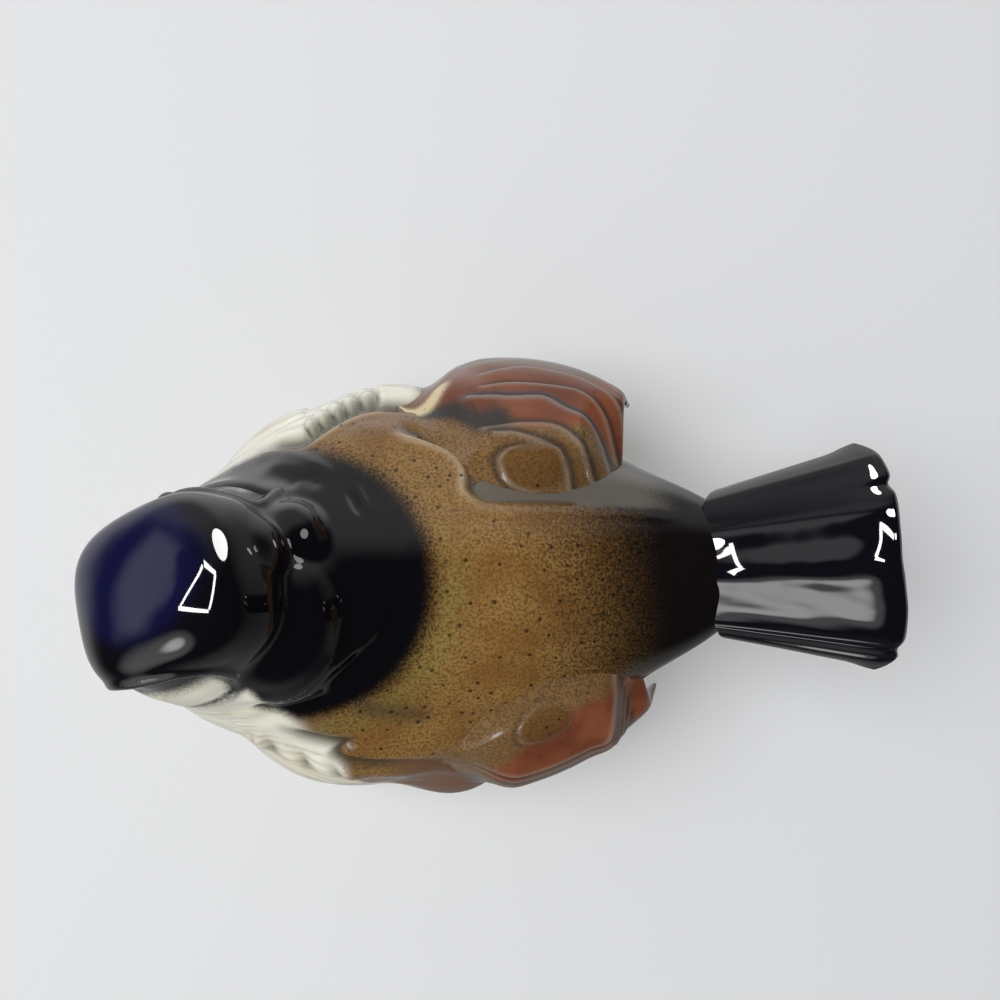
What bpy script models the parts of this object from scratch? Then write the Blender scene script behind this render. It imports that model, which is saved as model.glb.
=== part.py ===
"""Porcelain sparrow figurine: a slip-cast bird put together from its separately cast pieces.

The bird rests on a flat ground on its belly. It looks along -X with its tail cocked up towards +X,
and +Y is its own right side. The origin is the middle of the flat belly foot. Units are metres.

A hollow body carries a hollow head on a round spigot. The wings are keyed to the flanks by pegs and
the tail by a tenon. The beak, the eye beads and the feet are small solid pieces stuck on with slip.
"""
import math

import bmesh
import bpy
import numpy as np
from mathutils import Matrix, Vector

# Fit between neighbouring pieces and thickness of the cast walls
JOINT_GAP = 0.0003
CAST_WALL = 0.0032

# Torso: the egg that everything else is joined to
TORSO_LENGTH = 0.0900
TORSO_WIDTH = 0.0610
TORSO_HEIGHT = 0.0565
BELLY_CUT = 0.0015
FORM_BLEND = 0.0090

# Raised back between the wings
BACK_LENGTH = 0.0800
BACK_WIDTH = 0.0330
BACK_DEPTH = 0.0460
BACK_AFT = 0.0050
BACK_RISE = 0.0070
BACK_SLOPE = 7.0

# Breast lobes in front of the wings, and the shoulder humps above them
BREAST_LENGTH = 0.0450
BREAST_LOBE_WIDTH = 0.0350
BREAST_HEIGHT = 0.0390
BREAST_FORWARD = 0.0120
BREAST_SPREAD = 0.0310
BREAST_BELOW_AXIS = 0.0010
SHOULDER_LENGTH = 0.0400
SHOULDER_HUMP_WIDTH = 0.0270
SHOULDER_HEIGHT = 0.0300
SHOULDER_FORWARD = 0.0070
SHOULDER_SPREAD = 0.0320
SHOULDER_ABOVE_AXIS = 0.0085

# Neck, and the flat seam where the head is set on
NECK_LENGTH = 0.0440
NECK_WIDTH = 0.0400
NECK_HEIGHT = 0.0400
NECK_FORWARD = 0.0220
NECK_ABOVE_AXIS = 0.0170
NECK_ASIDE = 0.0015
NECK_SLOPE = 15.0
SEAM_BELOW_HEAD = 0.0110
SPIGOT_DIAMETER = 0.0174
SPIGOT_LENGTH = 0.0045

# Head, turned to the bird's right and bowed
HEAD_LENGTH = 0.0244
HEAD_WIDTH = 0.0240
HEAD_HEIGHT = 0.0260
HEAD_DROP = 0.0030
HEAD_FORWARD = 0.0298
HEAD_ASIDE = 0.0052
HEAD_ABOVE_GROUND = 0.0660
HEAD_TURN = 10.0
HEAD_BOW = 24.0
HEAD_TILT = 10.0
HEAD_BLEND = 0.0080
CHEEK_DIAMETER = 0.0160
CHEEK_SPREAD = 0.0130
CHEEK_FORWARD = 0.0025
CHEEK_BELOW = 0.0060

# Crown: a flattened cap with squared sides that overhangs the brows
CROWN_LENGTH = 0.0266
CROWN_WIDTH = 0.0237
CROWN_HEIGHT = 0.0180
CROWN_AFT = 0.0003
CROWN_RISE = 0.0015
CROWN_TURN = -19.0
CROWN_BOW = 25.0
CROWN_TILT = 18.0
CROWN_SQUARENESS = 3.2
CROWN_BLEND = 0.0030

# Beak and eyes
BEAK_LENGTH = 0.0095
BEAK_DIAMETER = 0.0080
BEAK_SEAT_DROP = 8.0
BEAK_DROP = 15.0
BEAK_ROOT_SHARE = 0.35
BEAK_TIP_SHARE = 0.03
BEAK_TAPER_POWER = 1.25
BEAK_STATIONS = 9
EYE_DIAMETER = 0.0036
EYE_SINK = 0.0007
EYE_FROM_FRONT = 60.0
EYE_BELOW_LEVEL = 10.0

# Rump and tail
RUMP_LENGTH = 0.0400
RUMP_WIDTH = 0.0270
RUMP_DEPTH = 0.0180
RUMP_AFT = 0.0340
RUMP_ABOVE_AXIS = 0.0115
RUMP_SLOPE = 22.0
TAIL_ROOT_AFT = 0.0462
TAIL_ROOT_ABOVE_GROUND = 0.0445
TAIL_COCK = 38.0
TAIL_LENGTH = 0.0285
TAIL_ROOT_WIDTH = 0.0235
TAIL_END_WIDTH = 0.0335
TAIL_ROOT_THICKNESS = 0.0090
TAIL_THICKNESS = 0.0056
TAIL_ARCH = 0.0060
TAIL_CORNER_RIGHT = 0.0048
TAIL_CORNER_LEFT = 0.0042
TAIL_FEATHER_STEP = 0.0007
TAIL_ARCH_POWER = 1.6
TAIL_SIDE_POWER = 8
TAIL_END_POWER = 12
TAIL_THINNEST_SIDE = 0.03
TAIL_THINNEST_END = 0.20
TENON_DIAMETER = 0.0060
TENON_LENGTH = 0.0060

# Wings, each a half-open blade lying on the flank
WING_LENGTH = 0.0392
WING_FRONT = -0.0012
WING_STAND_OFF_RIGHT = 0.0083
WING_STAND_OFF_LEFT = 0.0060
WING_CROWN_RIGHT = 0.0002
WING_CROWN_LEFT = 0.0016
WING_REACH_RIGHT = 0.0780
WING_REACH_LEFT = 0.0900
WING_AFT_RIGHT = 0.0140
WING_AFT_LEFT = 0.0040
WING_THICKNESS = 0.0042
WING_EDGE_THICKNESS = 0.0022
WING_FEATHER_STEP = 0.0005
WING_FEATHER_EDGES = (0.50, 0.64, 0.78, 0.90)
WING_OVAL_HEIGHT = 0.0012
WING_OVAL_STATION = 0.45
WING_OVAL_ROW = 0.22
WING_OVAL_HALF_SHARES = (0.26, 0.15)
WING_FEATHER_SLANT = 0.10
WING_EDGE_RAMP = 16.0
WING_TOP_ANGLES = (20.0, 58.0, 72.0, 62.0, 48.0)
WING_FOOT_ANGLES = (12.0, -12.0, -17.0, -12.0, 2.0)
WING_TOP_SHORTENING = 0.0050
PEG_DIAMETER = 0.0040
PEG_LENGTH = 0.0035

# Feet under the breast
LEG_DIAMETER = 0.0042
LEG_FORWARD = 0.0230
LEG_SPREAD = 0.0200
TOE_DIAMETER = 0.0030
TOE_LENGTH = 0.0130
TOE_SPLAY = 26.0
SOLE_DEPTH = 0.0002
TOE_KNUCKLE_SHARE = 0.05
TOE_KNUCKLES = 2.5
TOE_TIP_POWER = 6
TOE_TIP_SHARE = 0.04
TOE_STATIONS = 8

# Opening in the flat foot that lets the casting drain and breathe
VENT_DIAMETER = 0.0040
VENT_AFT = 0.0080

# Counts
BODY_SEGMENTS = 52
BODY_RINGS = 34
HEAD_SEGMENTS = 36
HEAD_RINGS = 24
CAVITY_SEGMENTS = 24
CAVITY_RINGS = 16
WING_STATIONS = 24
WING_ROWS = 17
TAIL_STATIONS = 10
TAIL_ROWS = 28
TAIL_FEATHERS = 7
ROUND_SIDES = 20

# The Boolean solver for thin walls and for toes that meet at a shared root
THIN_SOLVER = 'MANIFOLD'

# Places worked out from the sizes above
TORSO_AXIS_HEIGHT = TORSO_HEIGHT / 2 - BELLY_CUT
TORSO_CENTRE = np.array([0.0, 0.0, TORSO_AXIS_HEIGHT])
NECK_CENTRE = np.array([-NECK_FORWARD, NECK_ASIDE, TORSO_AXIS_HEIGHT + NECK_ABOVE_AXIS])
HEAD_CENTRE = np.array([-HEAD_FORWARD, HEAD_ASIDE, HEAD_ABOVE_GROUND])
RUMP_CENTRE = np.array([RUMP_AFT, 0.0, TORSO_AXIS_HEIGHT + RUMP_ABOVE_AXIS])
TAIL_ROOT = np.array([TAIL_ROOT_AFT, 0.0, TAIL_ROOT_ABOVE_GROUND])
REACH = TORSO_LENGTH + TORSO_HEIGHT


def turned(yaw=0.0, lift=0.0, tilt=0.0):
    """Axes turned about +Z by yaw, with the tail end lifted by lift and rolled about +X by tilt."""
    turn = (Matrix.Rotation(math.radians(yaw), 3, 'Z')
            @ Matrix.Rotation(math.radians(-lift), 3, 'Y')
            @ Matrix.Rotation(math.radians(tilt), 3, 'X'))
    return np.array(turn)


def unit(vector):
    """The vector scaled to a length of one."""
    return vector / np.linalg.norm(vector)


HEAD_AXES = turned(-HEAD_TURN, HEAD_BOW, -HEAD_TILT)
SEAM_NORMAL = unit(HEAD_CENTRE - NECK_CENTRE)
SEAM_POINT = HEAD_CENTRE - SEAM_NORMAL * SEAM_BELOW_HEAD
TAIL_AXES = turned(0.0, TAIL_COCK)
TAIL_DIRECTION = TAIL_AXES[:, 0]


def ellipsoid(points, centre, lengths, axes=None, power=2.0):
    """Distance to an ellipsoid, nearly true close to its surface and negative inside.

    A power over 2 squares it up towards its box.
    """
    offsets = points - centre
    if axes is not None:
        offsets = offsets @ axes
    radii = np.array(lengths) / 2
    shares = np.abs(offsets / radii)
    scaled = (shares ** power).sum(axis=-1) ** (1 / power)
    slope = np.linalg.norm(shares ** (power - 1) / radii, axis=-1)
    return scaled ** (power - 1) * (scaled - 1) / np.maximum(slope, 1e-9)


def blend(first, second, radius):
    """Union of two distances with a fillet of about the given radius."""
    overlap = np.maximum(radius - np.abs(first - second), 0) / radius
    return np.minimum(first, second) - overlap ** 2 * radius / 4


def beyond(points, origin, normal):
    """Height above a plane, which is negative on the side that is kept."""
    return (points - origin) @ normal


def body_form(points):
    """The whole bird but its head: torso, back, breast, shoulders, neck and rump blended."""
    form = ellipsoid(points, TORSO_CENTRE, (TORSO_LENGTH, TORSO_WIDTH, TORSO_HEIGHT))
    back = TORSO_CENTRE + np.array([BACK_AFT, 0.0, BACK_RISE])
    back_axes = turned(0.0, -BACK_SLOPE)
    form = blend(form, ellipsoid(points, back, (BACK_LENGTH, BACK_WIDTH, BACK_DEPTH), back_axes), FORM_BLEND)
    for side in (-1, 1):
        breast = TORSO_CENTRE + np.array([-BREAST_FORWARD, side * BREAST_SPREAD / 2, -BREAST_BELOW_AXIS])
        breast_size = (BREAST_LENGTH, BREAST_LOBE_WIDTH, BREAST_HEIGHT)
        form = blend(form, ellipsoid(points, breast, breast_size), FORM_BLEND / 3)
        hump = TORSO_CENTRE + np.array([-SHOULDER_FORWARD, side * SHOULDER_SPREAD / 2, SHOULDER_ABOVE_AXIS])
        hump_size = (SHOULDER_LENGTH, SHOULDER_HUMP_WIDTH, SHOULDER_HEIGHT)
        form = blend(form, ellipsoid(points, hump, hump_size), FORM_BLEND / 3)
    neck_size = (NECK_LENGTH, NECK_WIDTH, NECK_HEIGHT)
    form = blend(form, ellipsoid(points, NECK_CENTRE, neck_size, turned(0.0, NECK_SLOPE)), FORM_BLEND)
    rump_size = (RUMP_LENGTH, RUMP_WIDTH, RUMP_DEPTH)
    form = blend(form, ellipsoid(points, RUMP_CENTRE, rump_size, turned(0.0, RUMP_SLOPE)), FORM_BLEND)
    return form


def bird_form(points):
    """The body and the head with its cheeks and crown, blended into one skin."""
    face = HEAD_CENTRE - HEAD_AXES[:, 2] * HEAD_DROP
    head = ellipsoid(points, face, (HEAD_LENGTH, HEAD_WIDTH, HEAD_HEIGHT), HEAD_AXES)
    for side in (-1, 1):
        cheek = HEAD_CENTRE + HEAD_AXES @ np.array([-CHEEK_FORWARD, side * CHEEK_SPREAD / 2, -CHEEK_BELOW])
        cheek_form = ellipsoid(points, cheek, (CHEEK_DIAMETER, CHEEK_DIAMETER, CHEEK_DIAMETER))
        head = blend(head, cheek_form, HEAD_BLEND / 2)
    crown = HEAD_CENTRE + np.array([CROWN_AFT, 0.0, CROWN_RISE])
    crown_size = (CROWN_LENGTH, CROWN_WIDTH, CROWN_HEIGHT)
    crown_axes = turned(-CROWN_TURN, CROWN_BOW, -CROWN_TILT)
    cap = ellipsoid(points, crown, crown_size, crown_axes, CROWN_SQUARENESS)
    return blend(blend(body_form(points), head, HEAD_BLEND), cap, CROWN_BLEND)


def exit_distance(form, start, directions, reach):
    """How far each ray runs from its start before it first leaves the form."""
    start = np.broadcast_to(start, directions.shape)
    steps = np.linspace(0.0, reach, 121)[1:]
    samples = start[..., None, :] + directions[..., None, :] * steps[:, None]
    outside = form(samples) > 0
    first = np.argmax(outside, axis=-1)
    far = steps[first]
    near = far - steps[0]
    for _ in range(20):
        middle = (near + far) / 2
        out = form(start + directions * middle[..., None]) > 0
        far = np.where(out, middle, far)
        near = np.where(out, near, middle)
    return near


def material(name, colour, roughness):
    """A plain ceramic surface."""
    surface = bpy.data.materials.new(name)
    surface.use_nodes = True
    shader = surface.node_tree.nodes["Principled BSDF"]
    shader.inputs["Base Color"].default_value = (*colour, 1.0)
    shader.inputs["Roughness"].default_value = roughness
    shader.inputs["Metallic"].default_value = 0.0
    surface.diffuse_color = (*colour, 1.0)
    return surface


def clear_scene():
    """Remove whatever the file opened with."""
    for thing in list(bpy.data.objects):
        bpy.data.objects.remove(thing, do_unlink=True)


def new_collection(name):
    """A collection of this scene."""
    group = bpy.data.collections.new(name)
    bpy.context.scene.collection.children.link(group)
    return group


def add_mesh(name, bm, group):
    """Turn a bmesh into an object of the given collection, shaded smooth."""
    bmesh.ops.recalc_face_normals(bm, faces=bm.faces)
    mesh = bpy.data.meshes.new(name)
    bm.to_mesh(mesh)
    bm.free()
    mesh.shade_smooth()
    mesh.set_sharp_from_angle(angle=math.radians(40))
    thing = bpy.data.objects.new(name, mesh)
    group.objects.link(thing)
    if group is cutters:
        thing.hide_render = True
        thing.display_type = 'WIRE'
    return thing


def skin(name, form, centre, segments, rings, group, pole):
    """A ball whose points are moved out to where the form's surface lies."""
    bm = bmesh.new()
    bmesh.ops.create_uvsphere(bm, u_segments=segments, v_segments=rings, radius=1.0)
    turn = Vector((0, 0, 1)).rotation_difference(Vector(pole)).to_matrix()
    bmesh.ops.rotate(bm, verts=bm.verts, matrix=turn)
    directions = np.array([vertex.co[:] for vertex in bm.verts])
    reaches = exit_distance(form, centre, directions, REACH)
    for vertex, direction, reach in zip(bm.verts, directions, reaches):
        vertex.co = centre + direction * reach
    return add_mesh(name, bm, group)


def frame_along(origin, direction):
    """A matrix at the origin given whose Z axis runs along the direction."""
    turn = Vector(direction).to_track_quat('Z', 'Y')
    return Matrix.Translation(Vector(origin)) @ turn.to_matrix().to_4x4()


def rod(name, start, direction, diameter, length, group, sides=ROUND_SIDES):
    """A round bar from the start along the direction."""
    bm = bmesh.new()
    bmesh.ops.create_cone(bm, cap_ends=True, segments=sides, radius1=diameter / 2, radius2=diameter / 2,
                          depth=length)
    bmesh.ops.translate(bm, verts=bm.verts, vec=(0, 0, length / 2))
    bmesh.ops.transform(bm, verts=bm.verts, matrix=frame_along(start, direction))
    return add_mesh(name, bm, group)


def block_beyond(name, origin, normal):
    """A block that fills everything on the far side of a plane."""
    size = 3 * REACH
    bm = bmesh.new()
    bmesh.ops.create_cube(bm, size=size)
    bmesh.ops.translate(bm, verts=bm.verts, vec=(0, 0, size / 2))
    bmesh.ops.transform(bm, verts=bm.verts, matrix=frame_along(origin, normal))
    return add_mesh(name, bm, cutters)


def combine(target, tool, operation='DIFFERENCE', solver='EXACT'):
    """Cut the tool out of the target, or join it on.

    The exact solver turns the thin head and the toes inside out, so those name the other one.
    """
    boolean = target.modifiers.new(f"{operation.lower()} {tool.name}", 'BOOLEAN')
    boolean.operation = operation
    boolean.solver = solver
    boolean.object = tool


def plate(name, outer, inner, group):
    """A closed plate between two grids of points, stitched along its four edges."""
    rows, columns = outer.shape[:2]
    bm = bmesh.new()
    top = [[bm.verts.new(point) for point in line] for line in outer]
    under = [[bm.verts.new(point) for point in line] for line in inner]
    for i in range(rows - 1):
        for j in range(columns - 1):
            bm.faces.new((top[i][j], top[i + 1][j], top[i + 1][j + 1], top[i][j + 1]))
            bm.faces.new((under[i][j], under[i][j + 1], under[i + 1][j + 1], under[i + 1][j]))
    rim = [(i, 0) for i in range(rows)] + [(rows - 1, j) for j in range(1, columns)]
    rim += [(i, columns - 1) for i in range(rows - 2, -1, -1)]
    rim += [(0, j) for j in range(columns - 2, 0, -1)]
    for (i, j), (k, m) in zip(rim, rim[1:] + rim[:1]):
        bm.faces.new((top[i][j], under[i][j], under[k][m], top[k][m]))
    return add_mesh(name, bm, group)


def bezier(controls, s):
    """A smooth value through a row of control values, where s runs from 0 to 1."""
    last = len(controls) - 1
    return sum(math.comb(last, i) * (1 - s) ** (last - i) * s ** i * value
               for i, value in enumerate(controls))


def tapered_rod(name, points, radii, group, resolution=4):
    """A round, tapering bar along a smooth line, as one closed mesh."""
    data = bpy.data.curves.new(name, 'CURVE')
    data.dimensions = '3D'
    data.bevel_depth = max(radii)
    data.bevel_resolution = resolution
    data.use_fill_caps = True
    spline = data.splines.new('POLY')
    spline.points.add(len(points) - 1)
    for knot, point, radius in zip(spline.points, points, radii):
        knot.co = (*point, 1.0)
        knot.radius = radius / max(radii)
    line = bpy.data.objects.new(name + "_line", data)
    bpy.context.scene.collection.objects.link(line)
    evaluated = line.evaluated_get(bpy.context.evaluated_depsgraph_get())
    mesh = bpy.data.meshes.new_from_object(evaluated)
    bm = bmesh.new()
    bm.from_mesh(mesh)
    bmesh.ops.transform(bm, verts=bm.verts, matrix=line.matrix_world)
    bmesh.ops.remove_doubles(bm, verts=bm.verts, dist=1e-6)
    bpy.data.objects.remove(line, do_unlink=True)
    return add_mesh(name, bm, group)


def wing_form(points, side):
    """The large ellipsoid round a flank that the outer face of a wing lies on.

    The left wing is folded closer: its ellipsoid is longer and sits further forward, so the wing
    leans in towards its tip.
    """
    reach, aft, stand_off, crown = {
        -1: (WING_REACH_LEFT, WING_AFT_LEFT, WING_STAND_OFF_LEFT, WING_CROWN_LEFT),
        1: (WING_REACH_RIGHT, WING_AFT_RIGHT, WING_STAND_OFF_RIGHT, WING_CROWN_RIGHT),
    }[side]
    size = (reach, TORSO_WIDTH + 2 * stand_off, TORSO_HEIGHT + 2 * crown)
    return ellipsoid(points, TORSO_CENTRE + np.array([aft, 0.0, 0.0]), size)


def feather_relief(s, t):
    """Height of the wing's outer face: long feathers step down outwards, below a raised oval."""
    height = np.zeros(np.broadcast(s, t).shape)
    for edge in WING_FEATHER_EDGES:
        slanted = edge + WING_FEATHER_SLANT * (0.5 - s)
        height = height - WING_FEATHER_STEP * np.clip((t - slanted) * WING_ROWS, 0, 1)
    along, across = WING_OVAL_HALF_SHARES
    oval = ((s - WING_OVAL_STATION) / along) ** 2 + ((t - WING_OVAL_ROW) / across) ** 2
    return height + WING_OVAL_HEIGHT * np.sqrt(np.maximum(1 - oval, 0))


def wing_shell(side, margin, above, below):
    """Outer and inner points of a wing, grown at its edges and faces by the amounts given.

    A point is placed by its station along the wing and by its angle round the torso's axis. The wing
    form is longer than the torso, so the wing stands off the body more and more towards its tip.
    """
    along = margin / WING_LENGTH
    across = margin / (TORSO_WIDTH / 2)
    s = np.linspace(-along, 1 + along, WING_STATIONS)[:, None]
    t = np.linspace(-across, 1 + across, WING_ROWS)[None, :]
    length = WING_LENGTH - WING_TOP_SHORTENING * (1 - t)
    x = WING_FRONT + s * length
    top = bezier(WING_TOP_ANGLES, s)
    foot = bezier(WING_FOOT_ANGLES, s)
    angle = np.radians(top + (foot - top) * t)
    start = np.stack(np.broadcast_arrays(x, 0.0, TORSO_AXIS_HEIGHT), axis=-1)
    outward = np.stack([np.zeros_like(angle), side * np.cos(angle), np.sin(angle)], axis=-1)
    radius = exit_distance(lambda points: wing_form(points, side), start, outward, REACH)
    bulge = np.clip(WING_EDGE_RAMP * s * (1 - s), 0, 1) * np.clip(WING_EDGE_RAMP * t * (1 - t), 0, 1)
    thickness = WING_EDGE_THICKNESS + (WING_THICKNESS - WING_EDGE_THICKNESS) * bulge
    outer = start + outward * (radius + feather_relief(s, t) * bulge + above)[..., None]
    inner = start + outward * (radius - thickness - below)[..., None]
    return outer, inner


def peg_line(side):
    """Where a wing's peg starts inside the wing, and which way it runs into the body."""
    outer, inner = wing_shell(side, 0.0, 0.0, 0.0)
    station, row = WING_STATIONS // 2, WING_ROWS // 3
    start = (outer[station, row] + inner[station, row]) / 2
    return start, unit(inner[station, row] - outer[station, row])


def make_wing(name, side):
    """A wing with the peg that keys it to the flank."""
    outer, inner = wing_shell(side, 0.0, 0.0, 0.0)
    wing = plate(name, outer, inner, parts)
    start, direction = peg_line(side)
    length = WING_THICKNESS / 2 + JOINT_GAP + PEG_LENGTH
    combine(wing, rod(name + "_peg", start, direction, PEG_DIAMETER, length, cutters), 'UNION')
    return wing


def seat_wing(body, name, side):
    """Cut the wing's shallow seat and the hole for its peg into the body."""
    clear_above = TORSO_HEIGHT / 2
    seat = plate(name + "_seat", *wing_shell(side, JOINT_GAP * 1.5, clear_above, JOINT_GAP), cutters)
    combine(body, seat)
    start, direction = peg_line(side)
    length = WING_THICKNESS / 2 + JOINT_GAP + PEG_LENGTH + JOINT_GAP
    combine(body, rod(name + "_peg_hole", start, direction, PEG_DIAMETER + 2 * JOINT_GAP, length, cutters))


def cavity_form(points):
    """The hollow of the body: a wall's thickness inside the skin, the seats, the seam and the foot."""
    form = bird_form(points) + CAST_WALL
    wings = np.where(points[..., 1] < 0, wing_form(points, -1), wing_form(points, 1))
    form = np.maximum(form, wings + WING_THICKNESS + CAST_WALL)
    form = np.maximum(form, beyond(points, SEAM_POINT, SEAM_NORMAL) + CAST_WALL)
    form = np.maximum(form, beyond(points, TAIL_ROOT, TAIL_DIRECTION) + CAST_WALL + TENON_LENGTH)
    return np.maximum(form, CAST_WALL - points[..., 2])


def make_body(ground):
    """The hollow body, with the openings and seats that the other pieces go into."""
    def outside(points):
        return np.maximum(bird_form(points), beyond(points, SEAM_POINT, SEAM_NORMAL) - CAST_WALL)

    body = skin("body_shell", outside, TORSO_CENTRE, BODY_SEGMENTS, BODY_RINGS, parts, (1, 0, 0))
    combine(body, ground)
    combine(body, block_beyond("neck_seam", SEAM_POINT, SEAM_NORMAL))
    combine(body, block_beyond("rump_end", TAIL_ROOT, TAIL_DIRECTION))
    cavity = skin("body_cavity", cavity_form, TORSO_CENTRE, CAVITY_SEGMENTS, CAVITY_RINGS, cutters, (1, 0, 0))
    combine(body, cavity)
    bore_start = SEAM_POINT + SEAM_NORMAL * CAST_WALL
    bore_length = 2 * CAST_WALL + SPIGOT_LENGTH + JOINT_GAP
    combine(body, rod("neck_bore", bore_start, -SEAM_NORMAL, SPIGOT_DIAMETER + 2 * JOINT_GAP,
                      bore_length, cutters))
    vent_start = (VENT_AFT, 0, -CAST_WALL)
    combine(body, rod("vent", vent_start, (0, 0, 1), VENT_DIAMETER, 3 * CAST_WALL, cutters))
    socket_start = TAIL_ROOT + TAIL_DIRECTION * CAST_WALL
    socket_length = CAST_WALL + TENON_LENGTH + JOINT_GAP
    combine(body, rod("tail_socket", socket_start, -TAIL_DIRECTION, TENON_DIAMETER + 2 * JOINT_GAP,
                      socket_length, cutters))
    return body


def make_head():
    """The hollow head with the spigot that drops into the neck."""
    joint = SEAM_POINT + SEAM_NORMAL * JOINT_GAP

    def outside(points):
        return np.maximum(bird_form(points), -beyond(points, SEAM_POINT, SEAM_NORMAL) - CAST_WALL)

    def hollow(points):
        return np.maximum(bird_form(points) + CAST_WALL, CAST_WALL - beyond(points, joint, SEAM_NORMAL))

    head = skin("head_shell", outside, HEAD_CENTRE, HEAD_SEGMENTS, HEAD_RINGS, parts, SEAM_NORMAL)
    combine(head, block_beyond("head_seam", joint, -SEAM_NORMAL), solver=THIN_SOLVER)
    reach = SPIGOT_LENGTH + CAST_WALL
    top = joint + SEAM_NORMAL * CAST_WALL / 2
    spigot = rod("head_spigot", top, -SEAM_NORMAL, SPIGOT_DIAMETER, reach, cutters)
    combine(head, spigot, 'UNION', THIN_SOLVER)
    cavity = skin("head_cavity", hollow, HEAD_CENTRE, CAVITY_SEGMENTS, CAVITY_RINGS, cutters, SEAM_NORMAL)
    combine(head, cavity, solver=THIN_SOLVER)
    bore_start = top + SEAM_NORMAL * CAST_WALL
    bore_length = reach + 2 * CAST_WALL
    bore = rod("spigot_bore", bore_start, -SEAM_NORMAL, SPIGOT_DIAMETER - 2 * CAST_WALL, bore_length, cutters)
    combine(head, bore, solver=THIN_SOLVER)
    return head


def make_tail():
    """The fanned tail: an arched blade of feathers on a tenon."""
    u = np.linspace(0, 1, TAIL_STATIONS)[:, None]
    v = np.linspace(-1, 1, TAIL_ROWS)[None, :]
    half_width = (TAIL_ROOT_WIDTH + (TAIL_END_WIDTH - TAIL_ROOT_WIDTH) * u) / 2
    corner = np.where(v > 0, TAIL_CORNER_RIGHT, TAIL_CORNER_LEFT)
    along = JOINT_GAP + u * (TAIL_LENGTH - corner * np.abs(v) ** 3)
    feather = np.abs(np.sin(v * math.pi * TAIL_FEATHERS / 2))
    arch = -TAIL_ARCH * np.abs(v) ** TAIL_ARCH_POWER * (1 + u) / 2
    half_depth = (TAIL_ROOT_THICKNESS + (TAIL_THICKNESS - TAIL_ROOT_THICKNESS) * np.minimum(u * 2, 1)) / 2
    side_rounding = np.sqrt(np.maximum(1 - v ** TAIL_SIDE_POWER, TAIL_THINNEST_SIDE))
    rounding = side_rounding * np.sqrt(np.maximum(1 - u ** TAIL_END_POWER, TAIL_THINNEST_END))
    top = arch + half_depth * rounding - TAIL_FEATHER_STEP * (1 - feather) * u
    under = arch - half_depth * rounding

    def place(height):
        local = np.stack(np.broadcast_arrays(along, half_width * v, height), axis=-1)
        return TAIL_ROOT + local @ TAIL_AXES.T

    tail = plate("tail", place(top), place(under), parts)
    start = TAIL_ROOT + TAIL_DIRECTION * TAIL_ROOT_THICKNESS
    length = TAIL_ROOT_THICKNESS + TENON_LENGTH
    combine(tail, rod("tail_tenon", start, -TAIL_DIRECTION, TENON_DIAMETER, length, cutters), 'UNION')
    return tail


def head_direction(from_front, below_level, side):
    """A direction in the head's own axes: so far round from the front and so far below its level."""
    level = math.radians(from_front)
    drop = math.radians(below_level)
    local = (-math.cos(level) * math.cos(drop), side * math.sin(level) * math.cos(drop), -math.sin(drop))
    return HEAD_AXES @ np.array(local)


def on_head(direction):
    """The point of the skin that a direction from the head's middle meets."""
    return HEAD_CENTRE + direction * exit_distance(bird_form, HEAD_CENTRE, direction[None, :], REACH)[0]


def make_beak(clearance):
    """The short conical beak, its root shaped to the face."""
    face = on_head(head_direction(0.0, BEAK_SEAT_DROP, 1))
    direction = head_direction(0.0, BEAK_DROP, 1)
    steps = np.linspace(-BEAK_ROOT_SHARE, 1.0, BEAK_STATIONS)
    points = [face + direction * BEAK_LENGTH * step for step in steps]
    radii = [BEAK_DIAMETER / 2 * (1 + BEAK_TIP_SHARE - max(step, 0) ** BEAK_TAPER_POWER) for step in steps]
    beak = tapered_rod("beak", points, radii, parts, resolution=6)
    combine(beak, clearance)
    return beak


def make_foot(name, side, clearance, ground):
    """Three splayed toes with flat soles, and the short leg that meets the belly."""
    radius = TOE_DIAMETER / 2
    root = np.array([-LEG_FORWARD, side * LEG_SPREAD / 2, radius])
    leg_foot = root - np.array([0, 0, radius / 2])
    foot = rod(name, leg_foot, (0, 0, 1), LEG_DIAMETER, TORSO_AXIS_HEIGHT / 2, parts)
    for number, splay in enumerate((-TOE_SPLAY, 0.0, TOE_SPLAY)):
        heading = math.radians(180 + splay)
        ahead = np.array([math.cos(heading), math.sin(heading), 0.0])
        steps = np.linspace(0.0, 1.0, TOE_STATIONS)
        knuckles = 1 + TOE_KNUCKLE_SHARE * (np.cos(steps * TOE_KNUCKLES * 2 * math.pi) - 1)
        radii = radius * knuckles * np.sqrt(np.maximum(1 - steps ** TOE_TIP_POWER, TOE_TIP_SHARE))
        sole = SOLE_DEPTH * (1 + number / 4)
        reaches = LEG_DIAMETER / 4 + TOE_LENGTH * steps
        points = root + reaches[:, None] * ahead
        points[:, 2] -= radius - radii + sole
        combine(foot, tapered_rod(f"{name}_toe_{number}", points, radii, cutters), 'UNION', THIN_SOLVER)
    combine(foot, clearance, solver=THIN_SOLVER)
    combine(foot, ground, solver=THIN_SOLVER)
    return foot


def ball(name, centre, diameter, group):
    """A round bead."""
    bm = bmesh.new()
    bmesh.ops.create_uvsphere(bm, u_segments=14, v_segments=9, radius=diameter / 2)
    bmesh.ops.translate(bm, verts=bm.verts, vec=Vector(centre))
    return add_mesh(name, bm, group)


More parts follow.
